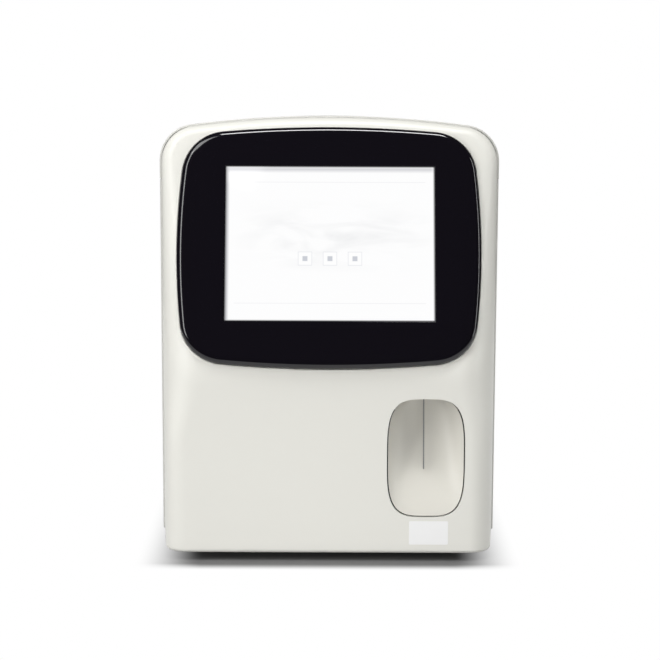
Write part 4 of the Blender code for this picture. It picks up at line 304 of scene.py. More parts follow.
class Surface(Nodes):
    """A material in the making, with its Principled shader."""

    def __init__(self, name: str) -> None:
        """Start the material."""
        self.material = bpy.data.materials.new(name)
        self.material.use_nodes = True
        super().__init__(self.material.node_tree)
        self.shader = self.tree.nodes["Principled BSDF"]

    def dress(self, height: Feed = 0.0, relief: float = 0.0, **feeds: Feed) -> bpy.types.Material:
        """Feed the shader.

        Args:
            height: what the relief follows.
            relief: the relief's depth; none at 0.
            **feeds: the shader's inputs; underscores stand for spaces.

        Returns:
            The material.
        """
        if relief > 0:
            feeds["Normal"] = self.add("ShaderNodeBump", {
                "Height": height, "Distance": relief, "Strength": 1.0})
        self.feed(self.shader, spaced(feeds))
        return self.material


# Finishes
@dataclass(frozen=True)
class MouldedPlastic:
    """A moulded or sprayed surface with a fine grain."""

    name: str
    colour: Colour
    roughness: float = 0.42
    texture: Texture = Texture.SATIN
    tone: float = 0.02
    gloss_change: float = 0.04
    shine: float = 0.5

    def build(self) -> bpy.types.Material:
        """Make the material.

        Returns:
            The material.
        """
        surface = Surface(self.name)
        grain, relief = self.texture.value
        made = surface.use(GRAIN, Colour=self.colour, Grain=grain, Tone=self.tone, Roughness=self.roughness,
                           Gloss_Change=self.gloss_change)
        colour = made["Colour"] if self.tone > 0 else self.colour
        return surface.dress(made["Height"], relief, Base_Color=colour, Roughness=made["Roughness"],
                             Specular_IOR_Level=self.shine)


@dataclass(frozen=True)
class SheetMetal:
    """Rolled, drawn or machined metal."""

    name: str
    colour: Colour
    roughness: float
    stretch: Point
    cloud: float
    relief: float = 0.00001

    def build(self) -> bpy.types.Material:
        """Make the material.

        Returns:
            The material.
        """
        surface = Surface(self.name)
        made = surface.use(METAL, Colour=self.colour, Stretch=self.stretch, Cloud=self.cloud,
                           Roughness=self.roughness)
        return surface.dress(made["Height"], self.relief, Base_Color=made["Colour"],
                             Roughness=made["Roughness"], Metallic=1.0)


@dataclass(frozen=True)
class ClearPlastic:
    """Polished clear acrylic with a faint tint."""

    name: str
    colour: Colour
    roughness: float = 0.05
    clearness: float = 0.9
    bending: float = 1.3

    def build(self) -> bpy.types.Material:
        """Make the material.

        Returns:
            The material.
        """
        surface = Surface(self.name)
        made = surface.use(GRAIN, Colour=self.colour, Grain=200.0, Tone=0.01, Roughness=self.roughness,
                           Gloss_Change=0.04)
        return surface.dress(Base_Color=made["Colour"], Roughness=made["Roughness"], IOR=self.bending,
                             Transmission_Weight=self.clearness)


@dataclass(frozen=True)
class CircuitBoard:
    """A populated board: solder mask with fine tracks, and parts and a plate of another colour."""

    name: str
    part_colour: Colour
    part_metallic: float
    part_axis: str
    part_side: Side
    part_from: float
    plate_from: float
    across: Point = (0.0, 0.0, 0.0)
    mask_colour: Colour = (0.012, 0.105, 0.040)
    track_colour: Colour = (0.060, 0.260, 0.110)

    def build(self) -> bpy.types.Material:
        """Make the material.

        Returns:
            The material.
        """
        surface = Surface(self.name)
        place = surface.place()
        turned = surface.add("ShaderNodeMapping", {"Vector": place, "Rotation": self.across})
        tracks = surface.add("ShaderNodeTexBrick", {
            "Vector": turned, "Color1": (0.0, 0.0, 0.0), "Color2": (0.25, 0.25, 0.25),
            "Mortar": (1.0, 1.0, 1.0), "Scale": 60.0, "Mortar Size": 0.012, "Brick Width": 0.9,
            "Row Height": 0.12})
        board = surface.mix(tracks, self.mask_colour, self.track_colour)
        sides = surface.add("ShaderNodeSeparateXYZ", {0: place}).outputs
        standing = surface.math(self.part_side.value, sides[self.part_axis], self.part_from)
        plate = surface.math("GREATER_THAN", sides["Y"], self.plate_from)
        other = surface.math("MAXIMUM", standing, plate)
        grain = surface.use(GRAIN, Grain=700.0, Roughness=0.36, Gloss_Change=0.1)
        return surface.dress(Base_Color=surface.mix(other, board, self.part_colour),
                             Metallic=surface.math("MULTIPLY", other, self.part_metallic),
                             Roughness=grain["Roughness"])


@dataclass(frozen=True)
class SoftTile:
    """One soft-edged rectangle of a flat map."""

    centre: tuple[float, float]
    half: tuple[float, float]
    colour: Colour
    edge: float

    def mask(self, nodes: Nodes, flat: Feed) -> bpy.types.NodeSocket:
        """Where the tile lies in a flat map."""
        return nodes.use(TILE, Vector=flat, Centre_X=self.centre[0], Centre_Y=self.centre[1],
                         Half_Width=self.half[0], Half_Height=self.half[1], Edge=self.edge)["Mask"]


@dataclass(frozen=True)
class LitScreen:
    """The touch panel over a lit display, whose picture is laid out in shares of the lit area."""

    name: str
    page: Colour = (0.980, 0.980, 0.982)
    glass: Colour = (0.004, 0.004, 0.005)
    shine: float = 0.25
    lit: SoftTile = SoftTile((0.5, 0.5), (0.5, 0.5), (0.006, 0.006, 0.008), 0.010)
    haze: SoftTile = SoftTile((0.52, 0.55), (0.36, 0.10), (0.45, 0.46, 0.49), 0.30)
    haze_spread: Point = (3.2, 9.0, 1.0)
    haze_range: tuple[float, float] = (0.42, 0.72)
    haze_most: float = 0.34
    # The first two edge tiles are painted shade, darker grey along the lit area's top and left edges; the
    # last two are thin rules in the picture.
    edges: tuple[SoftTile, ...] = (
        SoftTile((0.5, 0.985), (0.5, 0.010), (0.60, 0.60, 0.63), 0.030),
        SoftTile((0.004, 0.5), (0.004, 0.5), (0.42, 0.42, 0.45), 0.016),
        SoftTile((0.5, 0.900), (0.46, 0.0015), (0.84, 0.84, 0.86), 0.003),
        SoftTile((0.5, 0.110), (0.46, 0.0015), (0.84, 0.84, 0.86), 0.003))
    icon_columns: tuple[float, ...] = (0.38, 0.50, 0.62)
    icon_height: float = 0.40
    icon_edge: float = 0.004
    icon_layers: tuple[tuple[float, Colour], ...] = (
        (0.034, (0.80, 0.81, 0.84)), (0.031, (0.985, 0.985, 0.985)), (0.012, (0.60, 0.62, 0.67)))
    aspect: float = 1.33

    def tiles(self) -> list[SoftTile]:
        """The picture's tiles, with painted shade along the lit area's top and left edges.

        Returns:
            The tiles, from the back to the front.
        """
        icons = [((x, self.icon_height), (half, half * self.aspect), colour)
                 for x in self.icon_columns for half, colour in self.icon_layers]
        return [*self.edges, *(SoftTile(*icon, self.icon_edge) for icon in icons)]

    def build(self) -> bpy.types.Material:
        """Make the material, whose picture lies in the piece's own UV map.

        Returns:
            The material.
        """
        surface = Surface(self.name)
        flat = surface.add("ShaderNodeUVMap", uv_map="panel")
        widened = surface.add("ShaderNodeMapping", {"Vector": flat, "Scale": self.haze_spread})
        cloud = surface.noise(widened, scale=1.0, detail=3.0, distortion=0.8)
        tint = surface.add("ShaderNodeMapRange", {"Value": cloud, "From Min": self.haze_range[0],
                                                  "From Max": self.haze_range[1], "To Max": self.haze_most})
        veil = surface.math("MULTIPLY", self.haze.mask(surface, flat), tint)
        picture = surface.mix(veil, self.page, self.haze.colour)
        for tile in self.tiles():
            picture = surface.mix(tile.mask(surface, flat), picture, tile.colour)
        shown = surface.mix(self.lit.mask(surface, flat), self.lit.colour, picture)
        grain = surface.use(GRAIN, Grain=300.0, Roughness=0.10, Gloss_Change=0.02)
        return surface.dress(Emission_Color=shown, Emission_Strength=1.0, Base_Color=self.glass,
                             Roughness=grain["Roughness"], Specular_IOR_Level=self.shine)


class Finishes:
    """Every finish on the analyzer, built once."""

    def __init__(self) -> None:
        """Build the materials."""
        casing = (0.610, 0.608, 0.575)
        makers = (
            MouldedPlastic("housing", (0.745, 0.738, 0.688), 0.36, tone=0.015, gloss_change=0.03),
            MouldedPlastic("casing", casing, 0.44, tone=0.015, gloss_change=0.03),
            # The key's colour is darker than the housing's: painted shade for its recessed dish.
            MouldedPlastic("key", (0.645, 0.629, 0.574), 0.38, tone=0.015, gloss_change=0.03),
            MouldedPlastic("bezel", (0.0040, 0.0032, 0.0056), 0.09, Texture.POLISHED, 0.0, 0.02, 0.6),
            MouldedPlastic("black_plastic", (0.020, 0.020, 0.022), 0.45, Texture.COARSE, 0.10, 0.08),
            MouldedPlastic("rubber", (0.018, 0.018, 0.018), 0.80, Texture.COARSE, 0.20, 0.08),
            MouldedPlastic("painted_sheet", casing, 0.50, Texture.SPRAYED, 0.01, 0.05),
            MouldedPlastic("white_polymer", (0.800, 0.800, 0.780), 0.40),
            MouldedPlastic("blue_plastic", (0.030, 0.090, 0.350), tone=0.04, gloss_change=0.05),
            MouldedPlastic("yellow_plastic", (0.600, 0.400, 0.030), tone=0.04, gloss_change=0.05),
            MouldedPlastic("red_plastic", (0.420, 0.020, 0.020), tone=0.04, gloss_change=0.05),
            MouldedPlastic("label", (0.850, 0.850, 0.845), 0.30, Texture.POLISHED, 0.01, 0.03),
            SheetMetal("zinc_sheet", (0.500, 0.510, 0.520), 0.38, (30.0, 300.0, 300.0), 0.16),
            SheetMetal("steel", (0.560, 0.570, 0.580), 0.24, (600.0, 600.0, 40.0), 0.06),
            # Darker than the other steel: painted shade, so the needle reads dark where it reflects the white
            # floor.
            SheetMetal("needle_steel_painted_shade", (0.220, 0.220, 0.225), 0.30, (600.0, 600.0, 40.0), 0.06),
            SheetMetal("aluminium", (0.620, 0.630, 0.640), 0.34, (900.0, 40.0, 900.0), 0.08),
            ClearPlastic("clear_plastic", (0.900, 0.930, 0.940)),
            CircuitBoard("main_board", (0.020, 0.020, 0.022), 0.0, "X", Side.BELOW, 0.0283, REAR_Y,
                         (0.0, math.radians(90.0), 0.0)),
            CircuitBoard("io_board", (0.520, 0.530, 0.540), 1.0, "Z", Side.ABOVE, 0.1500,
                         REAR_PANEL_Y - 0.0028),
            LitScreen("touch_glass"),
        )
        self.materials = {maker.name: maker.build() for maker in makers}

    def __getitem__(self, name: str) -> bpy.types.Material:
        """The material of that name."""
        return self.materials[name]


# Mesh helpers
def link(obj: bpy.types.Object) -> bpy.types.Object:
    """Put an object into the scene and hand it back."""
    bpy.context.scene.collection.objects.link(obj)
    return obj


def smooth(data: bpy.types.Mesh, angle: float = SMOOTH_ANGLE) -> None:
    """Shade a mesh smooth up to an angle in degrees."""
    data.shade_smooth()
    data.set_sharp_from_angle(angle=math.radians(angle))


def place_mesh(name: str, data: bpy.types.Mesh, material: bpy.types.Material,
               angle: float = SMOOTH_ANGLE) -> bpy.types.Object:
    """Make a mesh an object of one finish.

    Args:
        name: the piece's name.
        data: its mesh.
        material: its finish.
        angle: the angle, in degrees, over which an edge is sharp.

    Returns:
        The new object, at the origin.
    """
    data.materials.clear()
    data.materials.append(material)
    smooth(data, angle)
    return link(bpy.data.objects.new(name, data))


def spread(first: float, last: float, steps: int) -> list[float]:
    """Even steps from a first value to a last one, with both."""
    return [first + (last - first) * step / steps for step in range(steps + 1)]


def quarter_turn(steps: int) -> list[tuple[float, float]]:
    """The cosine and sine at even steps of a quarter turn."""
    return [(math.cos(angle), math.sin(angle)) for angle in spread(0.0, math.pi / 2, steps)]


def arc(x: float, z: float, radius: float, first: float, last: float, steps: int) -> list[EdgePoint]:
    """Points round a centre from one angle to another, each with its normal."""
    normals = [(math.cos(angle), math.sin(angle)) for angle in spread(first, last, steps)]
    return [(x + radius * normal[0], z + radius * normal[1], normal) for normal in normals]


def mirrored(right: Sequence[Point], middle: Point) -> list[Point]:
    """A whole row from its right half and its middle point."""
    return [*right, middle, *((-x, y, z) for x, y, z in reversed(right))]


class MeshDraft:
    """A mesh in the making, of rows of points and the faces between them."""

    def __init__(self) -> None:
        """Start with nothing."""
        self.mesh = bmesh.new()

    def row(self, points: Iterable[Sequence[float]]) -> list[bmesh.types.BMVert]:
        """Add a row of vertices."""
        return [self.mesh.verts.new(point) for point in points]

    def skin(self, rows: Sequence[Sequence[bmesh.types.BMVert]], closed: bool = False) -> None:
        """Lay quads between each row and the next.

        Args:
            rows: rows of one length.
            closed: True where each row is a ring.
        """
        for near, far in zip(rows, rows[1:]):
            for index in range(len(near) if closed else len(near) - 1):
                after = (index + 1) % len(near)
                self.mesh.faces.new((near[index], near[after], far[after], far[index]))

    def loft(self, rings: Sequence[Sequence[Sequence[float]]]) -> None:
        """Join closed rings and cap both ends.

        Args:
            rings: the rings, each with the same number of points.
        """
        rows = [self.row(ring) for ring in rings]
        self.skin(rows, closed=True)
        for end in (rows[0], rows[-1]):
            self.mesh.faces.new(end)

    def data(self, name: str) -> bpy.types.Mesh:
        """Use the draft up.

        Args:
            name: the mesh's name.

        Returns:
            The mesh, with its faces outwards.
        """
        bmesh.ops.recalc_face_normals(self.mesh, faces=self.mesh.faces)
        data = bpy.data.meshes.new(name)
        self.mesh.to_mesh(data)
        self.mesh.free()
        return data


def apply_modifiers(obj: bpy.types.Object) -> bpy.types.Mesh:
    """Bake an object's modifiers into a plain mesh.

    Args:
        obj: the object, which gets that mesh.

    Returns:
        The mesh.
    """
    bpy.context.view_layer.update()
    result = obj.evaluated_get(bpy.context.evaluated_depsgraph_get())
    data = bpy.data.meshes.new_from_object(result)
    obj.modifiers.clear()
    obj.data = data
    smooth(data)
    return data


def modify(obj: bpy.types.Object, kind: str, **settings: object) -> None:
    """Add a modifier.

    Args:
        obj: the object.
        kind: the modifier's type.
        **settings: its properties.
    """
    modifier = obj.modifiers.new(kind.lower(), kind)
    for label, value in settings.items():
        setattr(modifier, label, value)


def add_wall(obj: bpy.types.Object, thickness: float) -> None:
    """Give an open shell a wall on its inner side."""
    modify(obj, "SOLIDIFY", thickness=thickness, offset=-1, use_even_offset=True)


def cut_with(obj: bpy.types.Object, drafts: Sequence[MeshDraft]) -> None:
    """Cut shapes out of an object.

    Args:
        obj: the object.
        drafts: the shapes, used up by the cut.
    """
    tools = [link(bpy.data.objects.new("cutter", draft.data("cutter"))) for draft in drafts]
    for tool in tools:
        modify(obj, "BOOLEAN", operation="DIFFERENCE", object=tool, solver="EXACT")
    apply_modifiers(obj)
    for tool in tools:
        bpy.data.objects.remove(tool)


def soften(obj: bpy.types.Object, width: float, angle: float = 40.0) -> None:
    """Round an object's edges over an angle in degrees, by a bevel of that width."""
    modify(obj, "BEVEL", width=width, segments=2, limit_method="ANGLE", angle_limit=math.radians(angle))
    apply_modifiers(obj)


def copy_node(node: str, material: bpy.types.Material, edge: Edge) -> bpy.types.Object:
    """A welded, softened copy of a CAD node.

    Args:
        node: the CAD node.
        material: the copy's finish.
        edge: how far its edges are rounded.

    Returns:
        The new piece.
    """
    weld, flat = 0.000002, math.radians(0.3)
    draft = bmesh.new()
    draft.from_mesh(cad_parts[node].data)
    bmesh.ops.remove_doubles(draft, verts=draft.verts, dist=weld)
    bmesh.ops.dissolve_limit(draft, angle_limit=flat, verts=draft.verts, edges=draft.edges)
    data = bpy.data.meshes.new(node)
    draft.to_mesh(data)
    draft.free()
    obj = place_mesh(f"{node}_piece", data, material)
    if edge.value > 0:
        soften(obj, edge.value)
        modify(obj, "WEIGHTED_NORMAL", keep_sharp=True)
        apply_modifiers(obj)
    return obj


def settle(obj: bpy.types.Object, body: Body, slot: str, *nodes: str) -> None:
    """Put a finished piece on its body.

    Args:
        obj: the piece.
        body: the body it rides on.
        slot: the material slot it takes its finish from; not used.
        *nodes: the CAD nodes it stands for.
    """
    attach(obj, body.value)
    if nodes:
        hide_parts(*nodes)
    LOG.info("piece %-22s on %-16s %6d faces", obj.name, body.value, len(obj.data.polygons))


# Geometry node trees
class NodeRecipe(NodeKit):
    """A Geometry Nodes tree with named inputs, run on a mesh and turned into a plain mesh."""

    def __init__(self, name: str, **inputs: object) -> None:
        """Start the tree, with its inputs' defaults."""
        super().__init__(name, "GeometryNodeTree", {
            "Geometry": "NodeSocketGeometry", **spaced(inputs), "Material": "NodeSocketMaterial"},
            {"Geometry": "NodeSocketGeometry"})

    def end(self, geometry: Feed) -> None:
        """Close the tree with Realize Instances and Set Material."""
        real = self.add("GeometryNodeRealizeInstances", {"Geometry": geometry})
        self.feed(self.sink, {0: self.add("GeometryNodeSetMaterial", {
            "Geometry": real, "Material": self.given["Material"]})})

    def run(self, name: str, points: Sequence[Sequence[float]], material: bpy.types.Material,
            closed: bool = False, **values: object) -> bpy.types.Object:
        """Run the tree.

        Args:
            name: the new piece's name.
            points: the points that the tree works from.
            material: the piece's finish.
            closed: True where edges join the points in a ring.
            **values: the tree's inputs; underscores stand for spaces.

        Returns:
            A plain mesh object at the origin.
        """
        data = bpy.data.meshes.new(name)
        count = len(points)
        edges = [(index, (index + 1) % count) for index in range(count)]
        data.from_pydata(points, edges if closed else [], [])
        obj = link(bpy.data.objects.new(name, data))
        modifier = obj.modifiers.new("nodes", "NODES")
        modifier.node_group = self.tree
        for label, value in {**spaced(values), "Material": material}.items():
            modifier[self.identifiers[label]] = value
        made = apply_modifiers(obj)
        bpy.data.objects.remove(obj)
        return place_mesh(name, made, material)


def build_bead_recipe() -> NodeRecipe:
    """A round bead along a closed path.

    Returns:
        The recipe, for a chain of edges.
    """
    recipe = NodeRecipe("bead_on_path", Radius=0.0006, Sides=10)
    curve = recipe.add("GeometryNodeMeshToCurve", {"Mesh": recipe.given["Geometry"]})
    ring = recipe.add("GeometryNodeCurvePrimitiveCircle", {
        "Resolution": recipe.given["Sides"], "Radius": recipe.given["Radius"]})
    recipe.end(recipe.add("GeometryNodeCurveToMesh", {
        "Curve": curve, "Profile Curve": ring, "Fill Caps": True}))
    return recipe


def build_screw_recipe() -> NodeRecipe:
    """Cross-recessed pan heads on points, each turned by its own fixed random angle.

    Returns:
        The recipe, for points.
    """
    half_turn, length_share, width_share = 3.14159, 1.15, 0.24
    recipe = NodeRecipe("pan_head_screws", Radius=0.0028, Height=0.0018, Seed=7, Facing=(0.0, 1.0, 0.0))
    radius, height = recipe.given["Radius"], recipe.given["Height"]
    dome = recipe.add("GeometryNodeMeshUVSphere", {"Segments": 24, "Rings": 12, "Radius": radius})
    squat = recipe.vector(1.0, 1.0, recipe.math("DIVIDE", height, radius))
    head = recipe.add("GeometryNodeTransform", {"Geometry": dome, "Scale": squat})
    crossed = recipe.add("GeometryNodeMeshBoolean", {"Mesh 1": head}, operation="DIFFERENCE")
    long = recipe.math("MULTIPLY", radius, length_share)
    thin = recipe.math("MULTIPLY", radius, width_share)
    for x, y in ((long, thin), (thin, long)):
        box = recipe.add("GeometryNodeMeshCube", {"Size": recipe.vector(x, y, height)})
        recipe.feed(crossed, {"Mesh 2": recipe.add("GeometryNodeTransform", {
            "Geometry": box, "Translation": recipe.vector(0.0, 0.0, height)})})
    aligned = recipe.add("FunctionNodeAlignRotationToVector", {"Vector": recipe.given["Facing"]}, axis="Z")
    angle = recipe.add("FunctionNodeRandomValue", {2: 0.0, 3: half_turn, "Seed": recipe.given["Seed"]},
                       data_type="FLOAT")
    turn = recipe.add("FunctionNodeEulerToRotation", {0: recipe.vector(0.0, 0.0, angle.outputs[1])})
    both = recipe.add("FunctionNodeRotateRotation", {0: aligned, 1: turn}, rotation_space="LOCAL")
    recipe.end(recipe.add("GeometryNodeInstanceOnPoints", {
        "Points": recipe.given["Geometry"], "Instance": crossed, "Rotation": both}))
    return recipe


def build_scale_recipe() -> NodeRecipe:
    """Graduation marks up a barrel, every fifth one longer.

    Returns:
        The recipe, for the lowest mark's middle.
    """
    group, shortening = 5.0, -0.45
    recipe = NodeRecipe("scale_marks", Count=21, Pitch=0.003, Width=0.003, Thickness=0.0003)
    given = recipe.given
    line = recipe.add("GeometryNodeMeshLine", {
        "Count": given["Count"], "Offset": recipe.vector(0.0, 0.0, given["Pitch"])})
    mark = recipe.add("GeometryNodeMeshCube", {
        "Size": recipe.vector(given["Thickness"], given["Width"], given["Thickness"])})
    place = recipe.math("MODULO", recipe.add("GeometryNodeInputIndex"), group)
    length = recipe.math("MULTIPLY_ADD", recipe.math("GREATER_THAN", place, 0.5), shortening, 1.0)
    marks = recipe.add("GeometryNodeInstanceOnPoints", {
        "Points": line, "Instance": mark, "Scale": recipe.vector(1.0, length, 1.0)})
    recipe.end(recipe.add("GeometryNodeInstanceOnPoints", {"Points": given["Geometry"], "Instance": marks}))
    return recipe


# The front's form
@dataclass(frozen=True)
class FrontForm:
    """The rule behind the front cover: upright below, leaning back above, rounded all round."""

    half_width: float = 0.1745
    height: float = 0.4485
    below: float = 0.0080
    crest_radius: float = 1.100
    corner: float = 0.038
    low_fillet: float = 0.023
    shoulder_fillet: float = 0.040
    shoulder_fade: float = 0.080
    top_share: float = 0.80
    bottom_fillet: float = 0.0040
    draft: float = math.radians(6.0)
    lean: float = math.radians(17.0)
    lean_start: float = 0.200
    blend_radius: float = 0.100
    crest_room: float = 0.0110
    corner_steps: int = 28
    crest_steps: int = 14
    low_steps: int = 26
    bend_steps: int = 16
    high_steps: int = 18

    @property
    def setback(self) -> float:
        """The depth from the upright face to the seam."""
        return self.crest_room + (self.height - self.lean_start) * math.tan(self.lean)

    @property
    def top_fillet(self) -> float:
        """The front edge's rounding along the crest."""
        return self.crest_room * self.top_share

    @property
    def tangent(self) -> float:
        """How far the bend reaches along each plane from where they would meet."""
        return self.blend_radius * math.tan(self.lean / 2)

    @property
    def normal(self) -> Vector:
        """The leaning plane's outward direction."""
        return Vector((0.0, -math.cos(self.lean), math.sin(self.lean)))

    def face_y(self, z: float) -> float:
        """The face's depth.

        Args:
            z: the height.

        Returns:
            Its Y.
        """
        low = self.lean_start - self.tangent
        if z <= low:
            return FRONT_Y
        if z >= self.lean_start + self.tangent * math.cos(self.lean):
            return FRONT_Y + (z - self.lean_start) * math.tan(self.lean)
        return FRONT_Y + self.blend_radius - math.sqrt(self.blend_radius ** 2 - (z - low) ** 2)

    def on_face(self, x: float, up: float, out: float) -> Vector:
        """A point by its place on the leaning plane: across, up the slope, and proud of it."""
        return Vector((x, FRONT_Y + up * math.sin(self.lean) - out * math.cos(self.lean),
                       self.lean_start + up * math.cos(self.lean) + out * math.sin(self.lean)))

    def side_fillet(self, z: float) -> float:
        """The front edge's rounding down the sides, widest where the face starts to lean.

        Args:
            z: the height.

        Returns:
            The rounding's radius.
        """
        share = (SEAM_Y - self.face_y(z) - self.crest_room) / (self.setback - self.crest_room)
        rounding = self.top_fillet + (self.shoulder_fillet - self.top_fillet) * max(share, 0.0)
        fade = min(max((self.lean_start - z) / self.shoulder_fade, 0.0), 1.0)
        return rounding + (self.low_fillet - self.shoulder_fillet) * fade * fade * (3 - 2 * fade)

    def arch(self, half_width: float, height: float) -> list[EdgePoint]:
        """The right half of a crowned top, short of the middle.

        Args:
            half_width: half the arch's width.
            height: its crest's height.

        Returns:
            (x, z, normal) from the side up.
        """
        across = half_width - self.corner
        rise = math.sqrt((self.crest_radius - self.corner) ** 2 - across ** 2)
        meet = math.atan2(rise, across)
        centre_z = height - self.crest_radius
        corner = arc(across, centre_z + rise, self.corner, 0.0, meet, self.corner_steps)
        return corner + arc(0.0, centre_z, self.crest_radius, meet, math.pi / 2, self.crest_steps)[1:-1]

    def outline(self) -> list[EdgePoint]:
        """The right half of the cover's outline, from above its bottom edge to the crest.

        Returns:
            (x, z, normal) from the bottom up.
        """
        lowest = self.below + self.bottom_fillet
        upper = self.arch(self.half_width, self.height)
        low = self.lean_start - self.tangent
        high = low + self.tangent * 2
        heights = spread(lowest, low, self.low_steps)[:-1] + spread(low, high, self.bend_steps)
        heights += spread(high, upper[0][1], self.high_steps)[1:-1]
        return [(self.half_width, z, (1.0, 0.0)) for z in heights] + upper

    def ring(self, points: Sequence[EdgePoint], angle: float) -> list[Point]:
        """A ring at an angle round the front's rounding, where 90 degrees is the face.

        Args:
            points: the right half of the outline.
            angle: the angle, in radians.

        Returns:
            The ring, which ends with its point on the middle line.
        """
        turn = math.cos(self.draft) - math.cos(angle)
        ring = []
        for x, z, (across, up) in points:
            side = self.side_fillet(z)
            depth = math.hypot(across * side, up * self.top_fillet)
            drawn_in = max(SEAM_Y - self.face_y(z) - depth, 0.0) * math.tan(self.draft)
            ring_z = z - up * self.top_fillet * turn
            ring.append((x - across * (side * turn + drawn_in),
                         self.face_y(ring_z) + depth * (1 - math.sin(angle)), ring_z))
        crest_z = self.height - self.top_fillet * turn
        return ring + [(0.0, self.face_y(crest_z) + self.top_fillet * (1 - math.sin(angle)), crest_z)]


FORM = FrontForm()


@dataclass(frozen=True)
class BezelOutline:
    """The display surround's outline: bulged sides between round corners."""

    width: float = 0.3100
    height: float = 0.250404
    bottom: float = -0.0009
    side_bulge: float = 0.0052
    side_chord: float = 0.0870
    end_bulge: float = 0.0040
    end_chord: float = 0.0990
    corner: float = 0.0460
    corner_steps: int = 24
    side_steps: int = 8

    def points(self, grow: float = 0.0) -> list[EdgePoint]:
        """The outline's points.

        Args:
            grow: how far outside the outline.

        Returns:
            (x, v, normal) anticlockwise about the bezel's middle, from the right-hand side.
        """
        side_radius = (self.side_chord ** 2 + self.side_bulge ** 2) / (2 * self.side_bulge)
        end_radius = (self.end_chord ** 2 + self.end_bulge ** 2) / (2 * self.end_bulge)
        side_centre = self.width / 2 - side_radius
        end_centre = self.height / 2 - end_radius
        reach_side, reach_end = side_radius - self.corner, end_radius - self.corner
        gap = Vector((-side_centre, end_centre))
        along = (gap.length ** 2 + reach_side ** 2 - reach_end ** 2) / (2 * gap.length)
        off = math.sqrt(reach_side ** 2 - along ** 2)
        unit = gap / gap.length
        corner = Vector((side_centre, 0.0)) + unit * along + Vector((-unit.y, unit.x)) * off
        low = math.atan2(corner.y, corner.x - side_centre)
        high = math.atan2(corner.y - end_centre, corner.x)
        quarter = arc(side_centre, 0.0, side_radius + grow, 0.0, low, self.side_steps)[:-1]
        quarter += arc(corner.x, corner.y, self.corner + grow, low, high, self.corner_steps)[:-1]
        quarter += arc(0.0, end_centre, end_radius + grow, high, math.pi / 2, self.side_steps)[:-1]
        upper = quarter + [(0.0, self.height / 2 + grow, (0.0, 1.0))]
        upper += [(-x, v, (-n[0], n[1])) for x, v, n in reversed(quarter[1:])]
        side = (-(self.width / 2 + grow), 0.0, (-1.0, 0.0))
        return upper + [side] + [(-x, -v, (-n[0], -n[1])) for x, v, n in upper[1:]]

    def ring(self, inset: float, out: float, grow: float = 0.0) -> list[Vector]:
        """The outline drawn in by an inset and lifted off the leaning plane."""
        middle = self.bottom + self.height / 2
        return [FORM.on_face(x - n[0] * inset, middle + v - n[1] * inset, out)
                for x, v, n in self.points(grow)]


BEZEL = BezelOutline()


@dataclass(frozen=True)
class KeyForm:
    """The aspirate key's rounded oval and the dish pressed into it."""

    x: float = 0.0993
    z: float = 0.1076
    half_width: float = 0.0397
    half_height: float = 0.0611
    gap: float = 0.0012
    depth: float = 0.0320
    power: float = 3.6
    side_power: float = 4.0
    rise_power: float = 1.2
    sides: int = 120

    def oval(self, grow: float = 0.0) -> list[tuple[float, float]]:
        """The oval about its own centre, spread evenly by angle.

        Args:
            grow: how far outside the oval.

        Returns:
            (x, z) from the right-hand side, anticlockwise.
        """
        points = []
        for step in range(self.sides):
            angle = 2 * math.pi * step / self.sides
            x, z = (math.copysign(abs(part) ** (2 / self.power), part)
                    for part in (math.cos(angle), math.sin(angle)))
            points.append(((self.half_width + grow) * x, (self.half_height + grow) * z))
        return points

    def room(self, share: float) -> float:
        """The oval's half width at a share of its half height."""
        return max(1.0 - abs(share) ** self.power, 0.0) ** (1 / self.power)

    def dish(self, x: float, z: float) -> float:
        """How far the dish is pressed in.

        Args:
            x: the place across, from the oval's centre.
            z: the place up, from the oval's centre.

        Returns:
            The depth behind the front.
        """
        rise = min(max((z + self.half_height) / (2 * self.half_height), 0.0), 1.0)
        half = max(self.half_width * self.room(z / self.half_height), self.gap)
        side = min(abs(x) / half, 1.0)
        return self.depth * math.sin(math.pi / 2 * rise) ** self.rise_power * (1 - side ** self.side_power)


KEY = KeyForm()


# Sub-assemblies
@dataclass
class SubAssembly:
    """Pieces that are made together from the shared finishes."""

    finishes: Finishes

    def place(self, name: str, draft: MeshDraft, finish: str,
              angle: float = SMOOTH_ANGLE) -> bpy.types.Object:
        """Make a draft an object in one of the finishes, sharp over an angle in degrees."""
        return place_mesh(name, draft.data(name), self.finishes[finish], angle)


